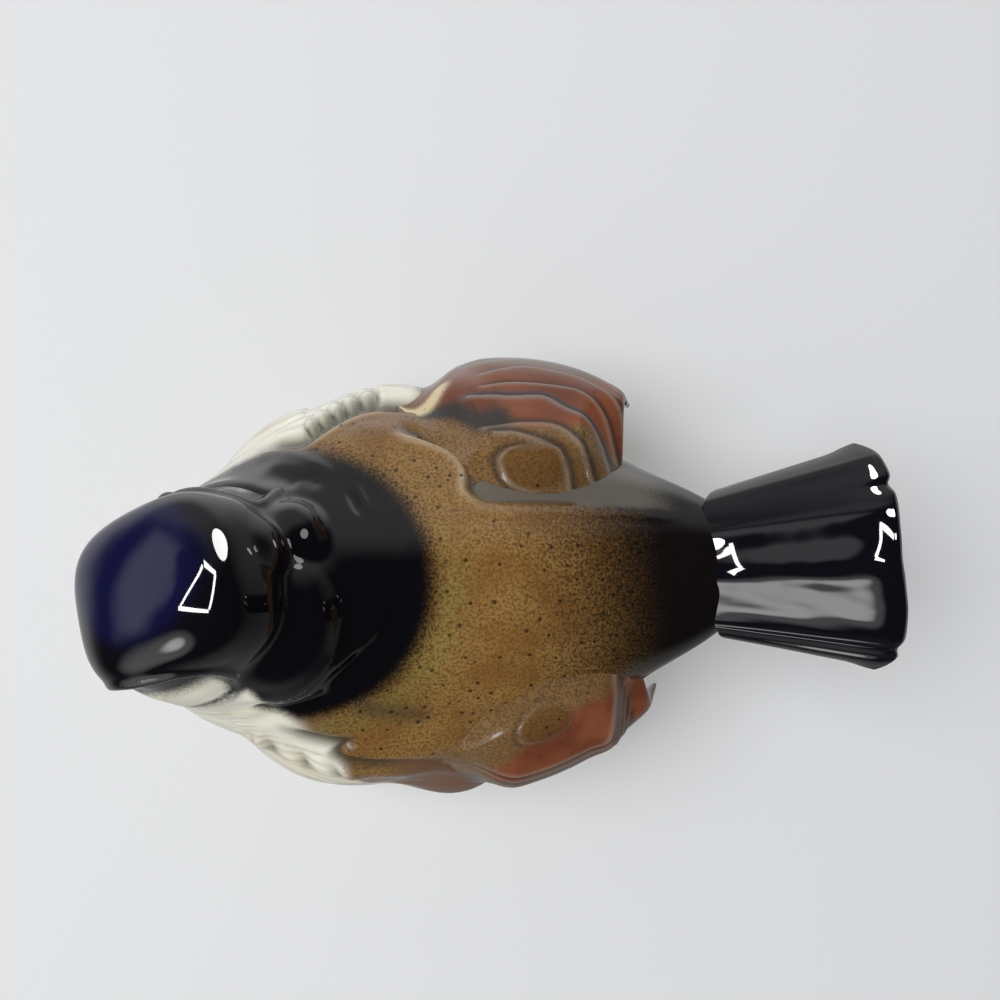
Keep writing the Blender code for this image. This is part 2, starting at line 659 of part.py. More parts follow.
def make_eye(name, head, side):
    """An eye bead sunk into its own round seat in the head."""
    direction = head_direction(EYE_FROM_FRONT, EYE_BELOW_LEVEL, side)
    centre = on_head(direction) - direction * EYE_SINK
    seat = ball(name + "_seat", centre, EYE_DIAMETER + 2 * JOINT_GAP, cutters)
    combine(head, seat, solver=THIN_SOLVER)
    return ball(name, centre, EYE_DIAMETER, parts)


clear_scene()
parts = new_collection("porcelain_sparrow")
cutters = new_collection("cutters")

brown = material("brown_glaze", (0.24, 0.14, 0.05), 0.15)
black = material("black_glaze", (0.012, 0.013, 0.022), 0.08)
horn = material("horn_glaze", (0.05, 0.045, 0.04), 0.15)

ground = block_beyond("ground", (0, 0, 0), (0, 0, -1))
body = make_body(ground)
head = make_head()
tail = make_tail()
body.data.materials.append(brown)
head.data.materials.append(black)
tail.data.materials.append(black)
for name, side in (("wing_left", -1), ("wing_right", 1)):
    wing = make_wing(name, side)
    wing.data.materials.append(brown)
    seat_wing(body, name, side)

face_clearance = skin("face_clearance", lambda points: bird_form(points) - JOINT_GAP, HEAD_CENTRE,
                      HEAD_SEGMENTS, HEAD_RINGS, cutters, SEAM_NORMAL)
beak = make_beak(face_clearance)
beak.data.materials.append(horn)
for name, side in (("eye_left", -1), ("eye_right", 1)):
    eye = make_eye(name, head, side)
    eye.data.materials.append(black)

belly_clearance = skin("belly_clearance", lambda points: bird_form(points) - JOINT_GAP, TORSO_CENTRE,
                       BODY_SEGMENTS, BODY_RINGS, cutters, (1, 0, 0))
for name, side in (("foot_left", -1), ("foot_right", 1)):
    foot = make_foot(name, side, belly_clearance, ground)
    foot.data.materials.append(horn)
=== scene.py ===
"""Looks of the porcelain sparrow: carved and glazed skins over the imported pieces.

Sizes are in millimetres, in the part's own frame, and become metres when a mesh is made. The bird
looks along -X, +Y is its right side, and the origin is the middle of its flat belly foot.
"""
import math
from functools import cached_property

import bpy
import numpy as np
from mathutils import Matrix, Vector


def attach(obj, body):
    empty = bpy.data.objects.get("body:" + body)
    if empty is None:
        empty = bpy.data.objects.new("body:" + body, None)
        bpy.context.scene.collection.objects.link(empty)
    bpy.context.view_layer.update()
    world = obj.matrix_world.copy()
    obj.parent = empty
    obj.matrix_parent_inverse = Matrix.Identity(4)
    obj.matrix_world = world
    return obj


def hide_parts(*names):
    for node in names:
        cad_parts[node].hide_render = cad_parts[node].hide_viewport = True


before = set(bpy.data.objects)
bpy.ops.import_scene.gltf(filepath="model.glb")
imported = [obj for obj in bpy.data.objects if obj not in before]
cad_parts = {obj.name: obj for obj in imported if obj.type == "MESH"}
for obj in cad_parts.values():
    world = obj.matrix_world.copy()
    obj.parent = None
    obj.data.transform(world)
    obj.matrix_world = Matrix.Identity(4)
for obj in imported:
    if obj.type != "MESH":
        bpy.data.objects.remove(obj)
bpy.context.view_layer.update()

MM = 0.001


# Body: one hollow casting of torso, breast, shoulders, neck and rump, with the mantle edge, the nape
# and the curled breast feathers carved in the mould. It is airbrushed with an ochre back, a black
# hood and a cream breast, speckled by hand, and dipped in clear gloss glaze.
TORSO = np.array([0.0, 0.0, 26.75])
HEAD = np.array([-29.8, 5.2, 66.0])
NECK = np.array([-22.0, 1.5, 43.75])
SEAM_BELOW_HEAD = 11.0
SEAM_SINK = 0.3
TORSO_LENGTHS = (90.0, 61.0, 56.5)
FACE_LENGTHS = (24.4, 24.0, 26.0)
FACE_DROP = 3.0
CHEEK_LENGTHS = (16.0, 16.0, 16.0)
CROWN_LENGTHS = (26.6, 23.7, 18.0)
CROWN_SQUARENESS = 3.2
HEAD_FILLET = 8.0
CHEEK_FILLET = 4.0
CROWN_FILLET = 3.0
NAPE_FILLET = 1.6


def turned(yaw=0.0, lift=0.0, tilt=0.0):
    """Axes turned about +Z, then lifted at the tail end, then rolled about +X, in degrees."""
    a, b, c = np.radians((yaw, -lift, tilt))
    about_z = np.array([[np.cos(a), -np.sin(a), 0], [np.sin(a), np.cos(a), 0], [0, 0, 1]])
    about_y = np.array([[np.cos(b), 0, np.sin(b)], [0, 1, 0], [-np.sin(b), 0, np.cos(b)]])
    about_x = np.array([[1, 0, 0], [0, np.cos(c), -np.sin(c)], [0, np.sin(c), np.cos(c)]])
    return about_z @ about_y @ about_x


def unit(vectors):
    """Vectors scaled to a length of one."""
    return vectors / np.linalg.norm(vectors, axis=-1, keepdims=True)


def smooth(value, start, end):
    """A soft step: 0 at the start, 1 at the end, with a cubic between that is level at both."""
    share = np.clip((value - start) / (end - start), 0, 1)
    return share * share * (3 - 2 * share)


def ellipsoid(points, centre, lengths, axes=np.eye(3), power=2.0):
    """Distance to an ellipsoid, or to a squarer one whose shares are summed at a higher power.

    It is the scaled radius times its excess over one, over the slope there.
    """
    radii = np.array(lengths) / 2
    shares = np.abs((points - centre) @ axes) / radii
    scaled = (shares ** power).sum(-1) ** (1 / power)
    slope = np.linalg.norm(shares ** (power - 1) / radii, axis=-1)
    return scaled ** (power - 1) * (scaled - 1) / np.maximum(slope, 1e-9)


def merge(first, second, fillet):
    """The nearer of two distances, less a quadratic fillet where they are nearly equal."""
    overlap = np.maximum(fillet - np.abs(first - second), 0) / fillet
    return np.minimum(first, second) - overlap ** 2 * fillet / 4


HEAD_AXES = turned(-10.0, 24.0, -10.0)
CROWN_AXES = turned(19.0, 25.0, -18.0)
SEAM_UP = unit(HEAD - NECK)
SEAM = HEAD - SEAM_UP * SEAM_BELOW_HEAD
# Back, breast, shoulders, neck, rump and flanks: middle, lengths, axes and fillet
BODY_LUMPS = (
    (TORSO + (5.0, 0.0, 7.0), (80.0, 33.0, 46.0), turned(0.0, -7.0), 9.0),
    (TORSO + (-12.0, -15.5, -1.0), (45.0, 35.0, 39.0), np.eye(3), 3.0),
    (TORSO + (-7.0, -16.0, 8.5), (40.0, 27.0, 30.0), np.eye(3), 3.0),
    (TORSO + (-12.0, 15.5, -1.0), (45.0, 35.0, 39.0), np.eye(3), 3.0),
    (TORSO + (-7.0, 16.0, 8.5), (40.0, 27.0, 30.0), np.eye(3), 3.0),
    (NECK, (44.0, 40.0, 40.0), turned(0.0, 15.0), 9.0),
    (TORSO + (34.0, 0.0, 11.5), (40.0, 27.0, 18.0), turned(0.0, 22.0), 9.0),
    (TORSO + (2.0, -25.8, 0.2), (21.0, 20.4, 17.0), np.eye(3), 5.0),
    (TORSO + (-2.5, 21.8, 2.2), (27.0, 25.6, 20.0), np.eye(3), 5.0),
)
NAPE_LUMPS = (((-18.5, 0.0, 58.5), (20.0, 22.0, 21.0)), ((-19.4, 9.4, 66.2), (8.4, 9.6, 9.2)),
              ((-15.3, 10.6, 58.9), (9.2, 10.8, 10.0)))


def bird_form(points):
    """Torso, back, breast, shoulders, neck and rump merged in turn, then face, cheeks, crown and nape."""
    body = ellipsoid(points, TORSO, TORSO_LENGTHS)
    for centre, lengths, axes, fillet in BODY_LUMPS:
        body = merge(body, ellipsoid(points, centre, lengths, axes), fillet)
    head = ellipsoid(points, HEAD - HEAD_AXES[:, 2] * FACE_DROP, FACE_LENGTHS, HEAD_AXES)
    for side in (-1, 1):
        cheek = HEAD + HEAD_AXES @ np.array([-2.5, side * 6.5, -6.0])
        head = merge(head, ellipsoid(points, cheek, CHEEK_LENGTHS), CHEEK_FILLET)
    bird = merge(body, head, HEAD_FILLET)
    crown = ellipsoid(points, HEAD + (0.3, 0.0, 1.5), CROWN_LENGTHS, CROWN_AXES, CROWN_SQUARENESS)
    bird = merge(bird, crown, CROWN_FILLET)
    for centre, lengths in NAPE_LUMPS:
        bird = merge(bird, ellipsoid(points, np.array(centre), lengths), NAPE_FILLET)
    return bird


def leave(form, start, directions):
    """Where rays leave a form: each steps on by most of the distance that is still left."""
    reach = np.full(directions.shape[:-1], 2.0)
    for _ in range(45):
        reach = reach - 0.8 * form(start + directions * reach[..., None])
    return reach


def facing(form, points, step=0.05):
    """Outward normals: the form's rise over a small step along each axis, scaled to one."""
    here = form(points)
    return unit(np.stack([form(points + step * axis) - here for axis in np.eye(3)], axis=-1))


def globe(rows, columns, axes, crowding=0.0):
    """Directions on a ball: rows run from pole to pole along the first axis and columns go round it.

    The angle round the pole is drawn towards the third axis by a sine, so rows are finer there.
    """
    polar = np.linspace(0, np.pi, rows)[:, None]
    turn = np.linspace(-np.pi, np.pi, columns, endpoint=False)[None, :]
    turn = turn - crowding * np.sin(turn)
    local = np.broadcast_arrays(np.cos(polar), np.sin(polar) * np.sin(turn), np.sin(polar) * np.cos(turn))
    return np.stack(local, axis=-1) @ axes.T


def put_object(name, data):
    """A new object at the origin that holds a mesh, a lamp or a camera."""
    made = bpy.data.objects.new(name, data)
    bpy.context.scene.collection.objects.link(made)
    return made


def put_mesh(name, points, faces, marks):
    """An object at the origin from points in millimetres, its faces, and its painted values per point."""
    mesh = bpy.data.meshes.new(name)
    mesh.from_pydata((points * MM).tolist(), [], faces)
    for key, values in marks.items():
        mesh.attributes.new(key, 'FLOAT', 'POINT').data.foreach_set("value", values.astype(np.float32))
    mesh.shade_smooth()
    return put_object(name, mesh)


def ball_mesh(name, grid, marks):
    """A closed skin over a pole-to-pole grid: each end row is one point, with triangles round it."""
    rows, columns = grid.shape[:2]
    keep = np.r_[0, np.arange(columns, (rows - 1) * columns), (rows - 1) * columns]
    ring = np.arange(columns)
    on = np.roll(ring, -1)
    first = [[0, 1 + b, 1 + a] for a, b in zip(ring, on)]
    base = 1 + columns * np.arange(rows - 3)[:, None]
    quads = np.stack([base + ring, base + on, base + columns + on, base + columns + ring], axis=-1)
    last = 1 + columns * (rows - 3)
    end = 1 + columns * (rows - 2)
    final = [[end, last + a, last + b] for a, b in zip(ring, on)]
    flat = {key: values.reshape(-1)[keep] for key, values in marks.items()}
    return put_mesh(name, grid.reshape(-1, 3)[keep], first + quads.reshape(-1, 4).tolist() + final, flat)


def smooth_line(stops, count=90):
    """A line through its stops: each stretch is the cubic whose slope at a stop joins its neighbours."""
    stops = np.asarray(stops, float)
    padded = np.vstack([2 * stops[0] - stops[1], stops, 2 * stops[-1] - stops[-2]])
    place = np.linspace(0, len(stops) - 1, count)
    stretch = np.minimum(place.astype(int), len(stops) - 2)
    f = (place - stretch)[:, None]
    before, here, after, beyond = (padded[stretch + k] for k in range(4))
    return (here + (after - before) * f / 2 + (before - 2.5 * here + 2 * after - beyond / 2) * f ** 2
            + (1.5 * here - before / 2 - 1.5 * after + beyond / 2) * f ** 3)


def beside(places, stops, margin=6.0, beyond=99.0):
    """How far places lie to the left of a line, and how far along it, from 0 to 1, they are nearest.

    Only places within the margin of the line's own box are measured. The rest get the value for beyond.
    """
    line = smooth_line(stops)
    ahead = unit(np.gradient(line, axis=0))
    flat = places.reshape(-1, 2)
    near = np.all((flat > line.min(0) - margin) & (flat < line.max(0) + margin), axis=-1)
    offsets = flat[near][:, None, :] - line
    nearest = (offsets ** 2).sum(-1).argmin(-1)
    chosen = offsets[np.arange(len(nearest)), nearest]
    left = ahead[nearest, 0] * chosen[:, 1] - ahead[nearest, 1] * chosen[:, 0]
    distance = np.full(len(flat), beyond)
    along = np.zeros(len(flat))
    distance[near] = np.copysign(np.linalg.norm(chosen, axis=-1), left)
    along[near] = nearest / (len(line) - 1)
    return distance.reshape(places.shape[:-1]), along.reshape(places.shape[:-1])


def bead(distance, width):
    """A rounded ridge: a bell curve of the distance from its line."""
    return np.exp(-(distance / width) ** 2)


def fade(along, share):
    """One along a line, falling softly to nothing over a share of it at each end."""
    return smooth(along, 0, share) * smooth(1 - along, 0, share)


# Lines of the body's carving, seen in plan. A fold of the collar also has its height
MANTLE_LIP = ((-2, 25.5), (0.4, 24.2), (3.7, 22.7), (7.4, 20.7), (8.9, 18), (8.7, 15.3), (10.5, 13.2),
              (12.8, 12.2), (23, 11.1), (29, 10.2), (36.7, 9), (43, 7.3))
SHOULDER_EDGE_RIGHT = ((-27, 24), (-19.4, 25), (-15.4, 25.2), (-12.9, 26.7), (-10.2, 28.5),
                       (-7.4, 29.8), (-3.5, 30.3), (3, 29.5), (12, 30))
SHOULDER_EDGE_LEFT = ((-23, -15.5), (-19, -18), (-14.6, -20.1), (-11.7, -20.8), (-13.8, -22.4),
                      (-13.5, -23.6), (-10.6, -24.8), (-5.5, -25.6), (0, -26.6), (6, -28.5))
WING_ROOT_LEFT = ((4, -18), (9.3, -15.7), (18, -16.5), (25.3, -16.4), (33, -14.6))
BREAST_FOLD = ((-29, -18.5), (-26.9, -21), (-21.3, -25.3), (-15.2, -27.9), (-10.5, -29.2))
SHOULDER_SHADE = ((3.5, 31), (5.9, 29.5), (7.4, 25.2), (11.6, 18.3), (12.8, 14.3))
SMEAR = ((-10.5, -14.6), (-8.6, -15), (-4.3, -16.5), (-0.2, -17.6), (2, -18.4))
COLLAR = (
    (((-28.4, -10.9), (-24.8, -10.6), (-21.4, -10.7), (-17.7, -10.9), (-14.5, -9.9), (-11.7, -7.7),
      (-8.7, -5.7), (-6, -3.6), (-3.6, -0.4), (-2.7, 2.3)), 0.55),
    (((-27.6, -13.6), (-22.2, -12.7), (-17.9, -11.7), (-13.9, -10.9), (-10, -9.8)), 0.4),
    (((-11.7, -7.7), (-9.6, -5.3), (-7.9, -2.4)), 0.3),
    (((-25.5, 24.2), (-20.5, 24.2), (-15.2, 22.6), (-11.2, 20.3), (-9.5, 18.3)), 0.3),
    (((-21.4, 22), (-18.1, 21.8), (-14.9, 20.7), (-13.3, 19.3)), 0.4),
)
HOOD_NICK = ((-7.6, 18.2), (-6.4, 15.4), (-5, 12.6))
LIP_HEIGHT = 0.75
LIP_WIDTH = 0.95
LIP_TO_GROOVE = 1.7
CURL_COUNT = 12
CURL_HEIGHT = 1.5
EDGE_DEPTH = 0.9
FOLD_DEPTH = 0.8
LEFT_CURL_COUNT = 5
LEFT_CURL_HEIGHT = 0.7
WING_ROOT_RISE = 0.5
TUFT_ROW = 6.5
TUFT_TURN = 9.0
TUFT_HEIGHT = 0.22
HAIR_DEPTH = 0.08
FOOT_TO_VENT = 8.0
VENT_RADIUS = 2.0
VENT_DEPTH = 3.0


def collar(plan, upward):
    """Folds of the neck, seen in plan: a rounded ridge on each line with a hollow outside it."""
    relief = np.zeros(plan.shape[:-1])
    for stops, height in COLLAR:
        line, along = beside(plan, stops)
        relief += height * (bead(line, 1.0) - 0.9 * bead(line + 2.0, 1.1)) * fade(along, 0.25)
    return relief * upward


def body_skin(points):
    """The bird's form, sunk quadratically above the neck seam so that it ends inside the head."""
    above = np.maximum((points - SEAM) @ SEAM_UP, 0)
    return bird_form(points) + SEAM_SINK * above ** 2


rays = globe(262, 362, np.diag([-1, -1, 1]), crowding=0.35)
reach = leave(body_skin, TORSO, rays)
skin = TORSO + rays * reach[..., None]
normal = facing(body_skin, skin)
plan = skin[..., :2]
x, y, z = np.moveaxis(skin, -1, 0)
upward = smooth(normal[..., 2], 0.02, 0.25)

lip, lip_along = beside(plan, MANTLE_LIP)
lip_fade = fade(lip_along, 0.12) * (1 - 0.7 * smooth(lip_along, 0.42, 0.55)) * upward
relief = LIP_HEIGHT * (bead(lip, LIP_WIDTH) - bead(lip - LIP_TO_GROOVE, LIP_WIDTH)) * lip_fade

# Painted shade in the trough between the mantle lip and the right wing, and along the hollow behind the
# shoulder
trough_shade_mark = smooth(lip, 0.4, 1.6) * smooth(-lip, -10, -5) * smooth(lip_along, 0.25, 0.42)
trough_shade_mark = trough_shade_mark * smooth(44 - x, 0, 9) * upward
shade_line, shade_along = beside(plan, SHOULDER_SHADE)
trough_shade_mark = np.maximum(trough_shade_mark, 0.9 * bead(shade_line, 2.6) * fade(shade_along, 0.2) * upward)

edge_right, right_along = beside(plan, SHOULDER_EDGE_RIGHT, 14, -99.0)
edge_left, left_along = beside(plan, SHOULDER_EDGE_LEFT, 14)
edge = np.where(y > 0, edge_right, -edge_left)
edge_along = np.where(y > 0, right_along, left_along)
above_belly = smooth(z, 20, 26)
# The right breast ends in a row of curled feather tips: rounded fingers that point back and inwards
curls = np.abs(np.sin(edge_along * np.pi * CURL_COUNT + edge * 0.35))
curl_fade = smooth(edge_along, 0.25, 0.33) * smooth(-edge_along, -0.78, -0.72) * (y > 0) * above_belly
fold = smooth(edge_along, 0.02, 0.15) * above_belly
finger = curls ** 0.7 * smooth(edge, 0.2 + 1.3 * (1 - curls), 1.6 + 1.3 * (1 - curls))
relief += CURL_HEIGHT * finger * smooth(-edge, -7, -1) * curl_fade
relief -= 0.5 * smooth(edge, 0, 1) * curl_fade
relief += (0.45 * bead(edge - 2.0, 1.2) * (1 - curl_fade)
           - EDGE_DEPTH * bead(edge - 0.3, 0.9)) * fold
relief += 0.3 * bead(edge + 1.3, 0.6) * curl_fade
# Painted shade in the gaps between the curled tips, below their rims
between = (1 - finger) * smooth(edge, 0, 0.8) * smooth(-edge, -4.5, -2) * curl_fade

fold_line, fold_along = beside(plan, BREAST_FOLD)
fold_fade = fade(fold_along, 0.2) * smooth(z, 20, 26)
relief += (0.6 * bead(fold_line - 1.2, 1.0) - FOLD_DEPTH * bead(fold_line + 0.4, 1.0)) * fold_fade
left_curls = np.abs(np.sin(fold_along * np.pi * LEFT_CURL_COUNT + fold_line * 0.5))
relief += LEFT_CURL_HEIGHT * left_curls * bead(fold_line - 2.4, 1.5) * fold_fade
# Painted highlight on the crest of the mantle lip and on the rims of the curled tips
ridge_highlight_mark = np.maximum(bead(lip - 0.1, 0.7) * lip_fade, 0.7 * bead(edge + 1.3, 0.5) * curl_fade)
# Painted shade in the carved grooves: behind the mantle lip, along the shoulder edges, in the breast fold
# and between the curled tips
groove_shade_mark = np.maximum.reduce([
    bead(lip - 1.5, 0.7) * lip_fade, bead(edge - 0.4, 0.9) * fold,
    bead(edge - 0.5, 1.3) * curl_fade, between, 0.8 * bead(fold_line + 0.4, 1.1) * fold_fade,
    0.8 * (1 - left_curls) * bead(fold_line - 1.8, 1.4) * fold_fade])

root, root_along = beside(plan, WING_ROOT_LEFT)
relief += WING_ROOT_RISE * bead(root, 1.8) * fade(root_along, 0.3) * upward
smear, smear_along = beside(plan, SMEAR)
smear_mark = bead(smear, 1.5) * fade(smear_along, 0.3) * upward
relief += collar(plan, upward) - 0.15 * smear_mark
nick, nick_along = beside(plan, HOOD_NICK)
relief += (0.35 * bead(nick - 0.5, 0.6) - 0.55 * bead(nick + 0.4, 0.6)) * fade(nick_along, 0.4) * upward

# Breast feathers: rows of tufts lie over each other down the front, each with fine hair lines
flow = np.degrees(np.arctan2(y, 44 - z))
down = np.hypot(x + 8, z - 52)
row = down / TUFT_ROW
tuft_phase = row + 0.35 * np.cos(flow / TUFT_TURN * np.pi + np.floor(row) * np.pi)
tuft = tuft_phase - np.floor(tuft_phase)
breast = smooth(edge, 0.5, 4) * smooth(-x, -4, 6) * smooth(z, 3, 12)
breast = np.maximum(breast, smooth(-x, 22, 30) * smooth(54 - z, 0, 8) * smooth(z, 3, 12))
hairs = np.sin(flow * 1.1 + 1.6 * np.sin(down * 0.5) + 1.3 * np.sin(flow * 0.21))
hairs = smooth(hairs, 0.2, 0.95) * smooth(np.hypot(y, 44 - z), 10, 20)
relief += breast * (TUFT_HEIGHT * tuft ** 2 * smooth(1 - tuft, 0, 0.25) - HAIR_DEPTH * hairs)
hair_mark = breast * hairs * (0.35 + 0.65 * tuft)

skin = skin + normal * relief[..., None]
# The belly foot is ground flat, and the drain vent is a round hole in it, painted dark as the shade
# inside it
skin[..., 2] = np.maximum(skin[..., 2], 0)
vent = np.hypot(skin[..., 0] - FOOT_TO_VENT, skin[..., 1]) - VENT_RADIUS
vent_mark = smooth(-vent, -0.2, 0.2) * (skin[..., 2] < VENT_DEPTH)
skin[..., 2] += VENT_DEPTH * vent_mark
foot_mark = smooth(-skin[..., 2], -0.12, -0.02)

hood_round = np.hypot((x + 19.0) / 23.0, (y - 4.0) / 20.4)
hood_low = 55.0 - 0.293 * (y + 15.5) + np.maximum(-17.7 - x, 0) * smooth(-y, 0, 6)
hood_mark = smooth(-hood_round, -1.15, -0.87) * smooth(z - hood_low, -3.5, 2.5)
cream_reach = np.where(y > 0, smooth(5 - x, 0, 5), smooth(-11 + 0.9 * np.maximum(38 - z, 0) - x, 0, 5))
under_tail = smooth(x, 12, 35)
belly = smooth((30 + 5 * under_tail - z) / (5 + 7 * under_tail), 0, 1)
cream_mark = np.maximum(smooth(edge, -0.4, 0.9) * cream_reach, belly)
cream_mark = np.maximum(cream_mark, smooth(-x, 15, 21) * (1 - smooth(z - hood_low, 0, 4)))
rump_mark = np.clip((x - 11) / 29, 0, 1)
# A painted pinkish reflection low on the left flank
pink_reflection_mark = smooth(x, -12, -2) * smooth(-y, 22, 29) * smooth(z, 16, 24)
olive_mark = bead(hood_round - 1.10, 0.11) * smooth(-y, -14, 0)

body = ball_mesh("glazed_body", skin, {
    "hood": hood_mark, "cream": cream_mark, "rump": rump_mark, "olive": olive_mark,
    "ridge": ridge_highlight_mark, "groove_shade": groove_shade_mark, "trough_shade": trough_shade_mark, "pink_reflection": pink_reflection_mark,
    "smear": smear_mark, "hair": hair_mark, "foot": foot_mark, "vent": vent_mark})


class Wire:
    """An output of a shader node. Sums and products of wires and numbers add their Math nodes."""

    def __init__(self, tree, socket=None):
        self.tree = tree
        self.socket = socket

    def node(self, kind, sockets=None, output=0, **settings):
        """Add a shader node: its settings are set first, then the values or wires of its sockets."""
        made = self.tree.nodes.new("ShaderNode" + kind)
        for key, value in settings.items():
            setattr(made, key, value)
        for key, value in (sockets or {}).items():
            if isinstance(value, Wire):
                self.tree.links.new(value.socket, made.inputs[key])
            else:
                made.inputs[key].default_value = value
        return Wire(self.tree, made.outputs[output])

    def maths(self, operation, *values):
        """A Math node on the values given."""
        return self.node("Math", dict(enumerate(values)), operation=operation)

    def __add__(self, other):
        return self.maths('ADD', self, other)

    def __sub__(self, other):
        return self.maths('SUBTRACT', self, other)

    def __rsub__(self, other):
        return self.maths('SUBTRACT', other, self)

    def __mul__(self, other):
        return self.maths('MULTIPLY', self, other)

    __radd__ = __add__
    __rmul__ = __mul__

    def step(self, start, end):
        """A soft step that is 0 at the start and 1 at the end."""
        return self.node("MapRange", {"Value": self, "From Min": start, "From Max": end},
                         interpolation_type='SMOOTHSTEP')

    def over(self, below, colour):
        """This much of a colour laid over the colour below. Plain colours are in screen values."""
        below, colour = (each if isinstance(each, Wire) else stain(*each) for each in (below, colour))
        return self.node("Mix", {0: self, 6: below, 7: colour}, output=2, data_type='RGBA')


def stain(red, green, blue):
    """A colour given in screen values from 0 to 255, as the linear values that a shader takes."""
    screen = np.array([red, green, blue]) / 255
    linear = np.where(screen <= 0.04045, screen / 12.92, ((screen + 0.055) / 1.055) ** 2.4)
    return (*linear.tolist(), 1.0)


class Glaze:
    """A clear gloss glaze over painted colour, with the slight waviness of a dipped coat."""

    def __init__(self, name, roughness=0.05):
        self.material = bpy.data.materials.new(name)
        self.material.use_nodes = True
        tree = self.material.node_tree
        self.shader = tree.nodes["Principled BSDF"]
        self.shader.inputs["Roughness"].default_value = roughness
        self.shader.inputs["IOR"].default_value = 1.45
        self.wires = Wire(tree)
        self.place = self.wires.node("TexCoord", output="Object")
        ripple = self.noise(160.0, detail=1.0)
        bump = self.wires.node("Bump", {"Strength": 0.10, "Distance": MM, "Height": ripple})
        tree.links.new(bump.socket, self.shader.inputs["Normal"])

    def noise(self, scale, detail=2.0):
        """Cloudy values about one half, with so many clouds to the metre."""
        return self.wires.node("TexNoise", {"Vector": self.place, "Scale": scale, "Detail": detail})

    @cached_property
    def grain(self):
        """The fine grain of sprayed colour."""
        return self.noise(2600.0, detail=3.0)

    def mark(self, name):
        """A value painted on the points of the mesh."""
        return self.wires.node("Attribute", output="Fac", attribute_name=name)

    def specks(self, per_metre, size, share):
        """Round dots: a share of the cells of a Voronoi pattern each hold one, at its middle."""
        pattern = {"Vector": self.place, "Scale": per_metre}
        cells = self.wires.node("TexVoronoi", pattern)
        draw = self.wires.node("TexVoronoi", pattern, output="Color")
        pick = self.wires.node("SeparateColor", {"Color": draw})
        return (cells * -1.0).step(-size, -size * 0.6) * (pick * -1.0).step(-share, -share * 0.9)

    def brush(self, below, name, colour, share=1.0):
        """A share of a colour laid over the colour below where the mesh is marked."""
        return (self.mark(name) * share).over(below, colour)

    def airbrush(self, below, name, colour, share=1.0):
        """The same with sprayed colour: the edge of the mark is broken into grains."""
        mask = self.mark(name) * share
        broken = mask + (self.grain - 0.5) * (mask * (1.0 - mask) * 2.6)
        return broken.step(0.05, 0.95).over(below, colour)

    def paint(self, colour):
        """Use a colour for the surface."""
        self.material.node_tree.links.new(colour.socket, self.shader.inputs["Base Color"])
        return self.material


def body_glaze():
    """Ochre stippled with brown, black over the nape and rump, cream on the breast, belly and throat,
    with painted shade in the grooves, the trough by the right wing and the vent, painted highlights on
    the carved ridges, and a painted reflection low on the left flank.
    """
    glaze = Glaze("body_glaze")
    ochre = glaze.noise(90.0).step(0.35, 0.65).over((134, 95, 50), (152, 118, 68))
    ochre = glaze.brush(ochre, "olive", (134, 126, 70), 0.7)
    colour = glaze.grain.step(0.40, 0.64).over(ochre, (112, 80, 42))
    colour = glaze.brush(colour, "smear", (60, 54, 42), 0.6)
    # Painted shade in the carved grooves
    colour = glaze.brush(colour, "groove_shade", (64, 58, 48), 0.8)
    # Painted highlight on the carved ridges
    colour = glaze.brush(colour, "ridge", (190, 166, 136), 0.8)
    colour = (glaze.specks(620.0, 0.25, 0.55) * 0.8).over(colour, (38, 27, 18))
    colour = (glaze.specks(1300.0, 0.26, 0.5) * 0.5).over(colour, (66, 46, 28))
    colour = glaze.airbrush(colour, "rump", (17, 13, 13))
    # Painted shade in the trough by the right wing
    colour = glaze.airbrush(colour, "trough_shade", (96, 92, 84), 0.75)
    # A painted pinkish reflection on the left flank
    colour = glaze.airbrush(colour, "pink_reflection", (118, 88, 68), 0.9)
    cream = glaze.noise(60.0).step(0.4, 0.7).over((253, 251, 236), (246, 240, 216))
    cream = glaze.brush(cream, "hair", (140, 130, 98), 0.42)
    # Painted shade in the grooves and between the curls of the cream breast
    cream = glaze.brush(cream, "groove_shade", (78, 74, 58), 0.9)
    colour = glaze.airbrush(colour, "cream", cream)
    colour = glaze.airbrush(colour, "hood", (11, 10, 14))
    colour = glaze.brush(colour, "foot", (226, 220, 206))
    # The vent is painted dark as shade inside the hole
    return glaze.paint(glaze.brush(colour, "vent", (40, 34, 30)))


body.data.materials.append(body_glaze())
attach(body, "root")
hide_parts("body_shell")


# Head: a second casting, set on the neck while wet, so its joint is lost in the black of the hood.
# The crown is cobalt over black and the cheeks and throat are white, with a carved edge between.
CHEEK_LOOP = ((-9, -3.5), (-6.5, 2), (-2.8, 5), (1.1, 5.6), (4.5, 5.4), (6.9, 5), (8.8, 3.4),
              (9.4, 0.7), (8.9, -2.8), (8, -5.5), (7, -7.1), (5.4, -7.8), (2.1, -8), (-1.5, -8.6))


def head_skin(points):
    """The bird's form, sunk quadratically below the neck seam so that it ends inside the body."""
    below = np.maximum(-(points - SEAM) @ SEAM_UP, 0)
    return bird_form(points) + SEAM_SINK * below ** 2


across = unit(np.cross(SEAM_UP, (1.0, 0.0, 0.0)))
rays = globe(210, 300, np.stack([SEAM_UP, across, np.cross(SEAM_UP, across)], axis=-1))
skin = HEAD + rays * leave(head_skin, HEAD, rays)[..., None]
normal = facing(head_skin, skin)
aft, aside, above = np.moveaxis((skin - HEAD) @ HEAD_AXES, -1, 0)
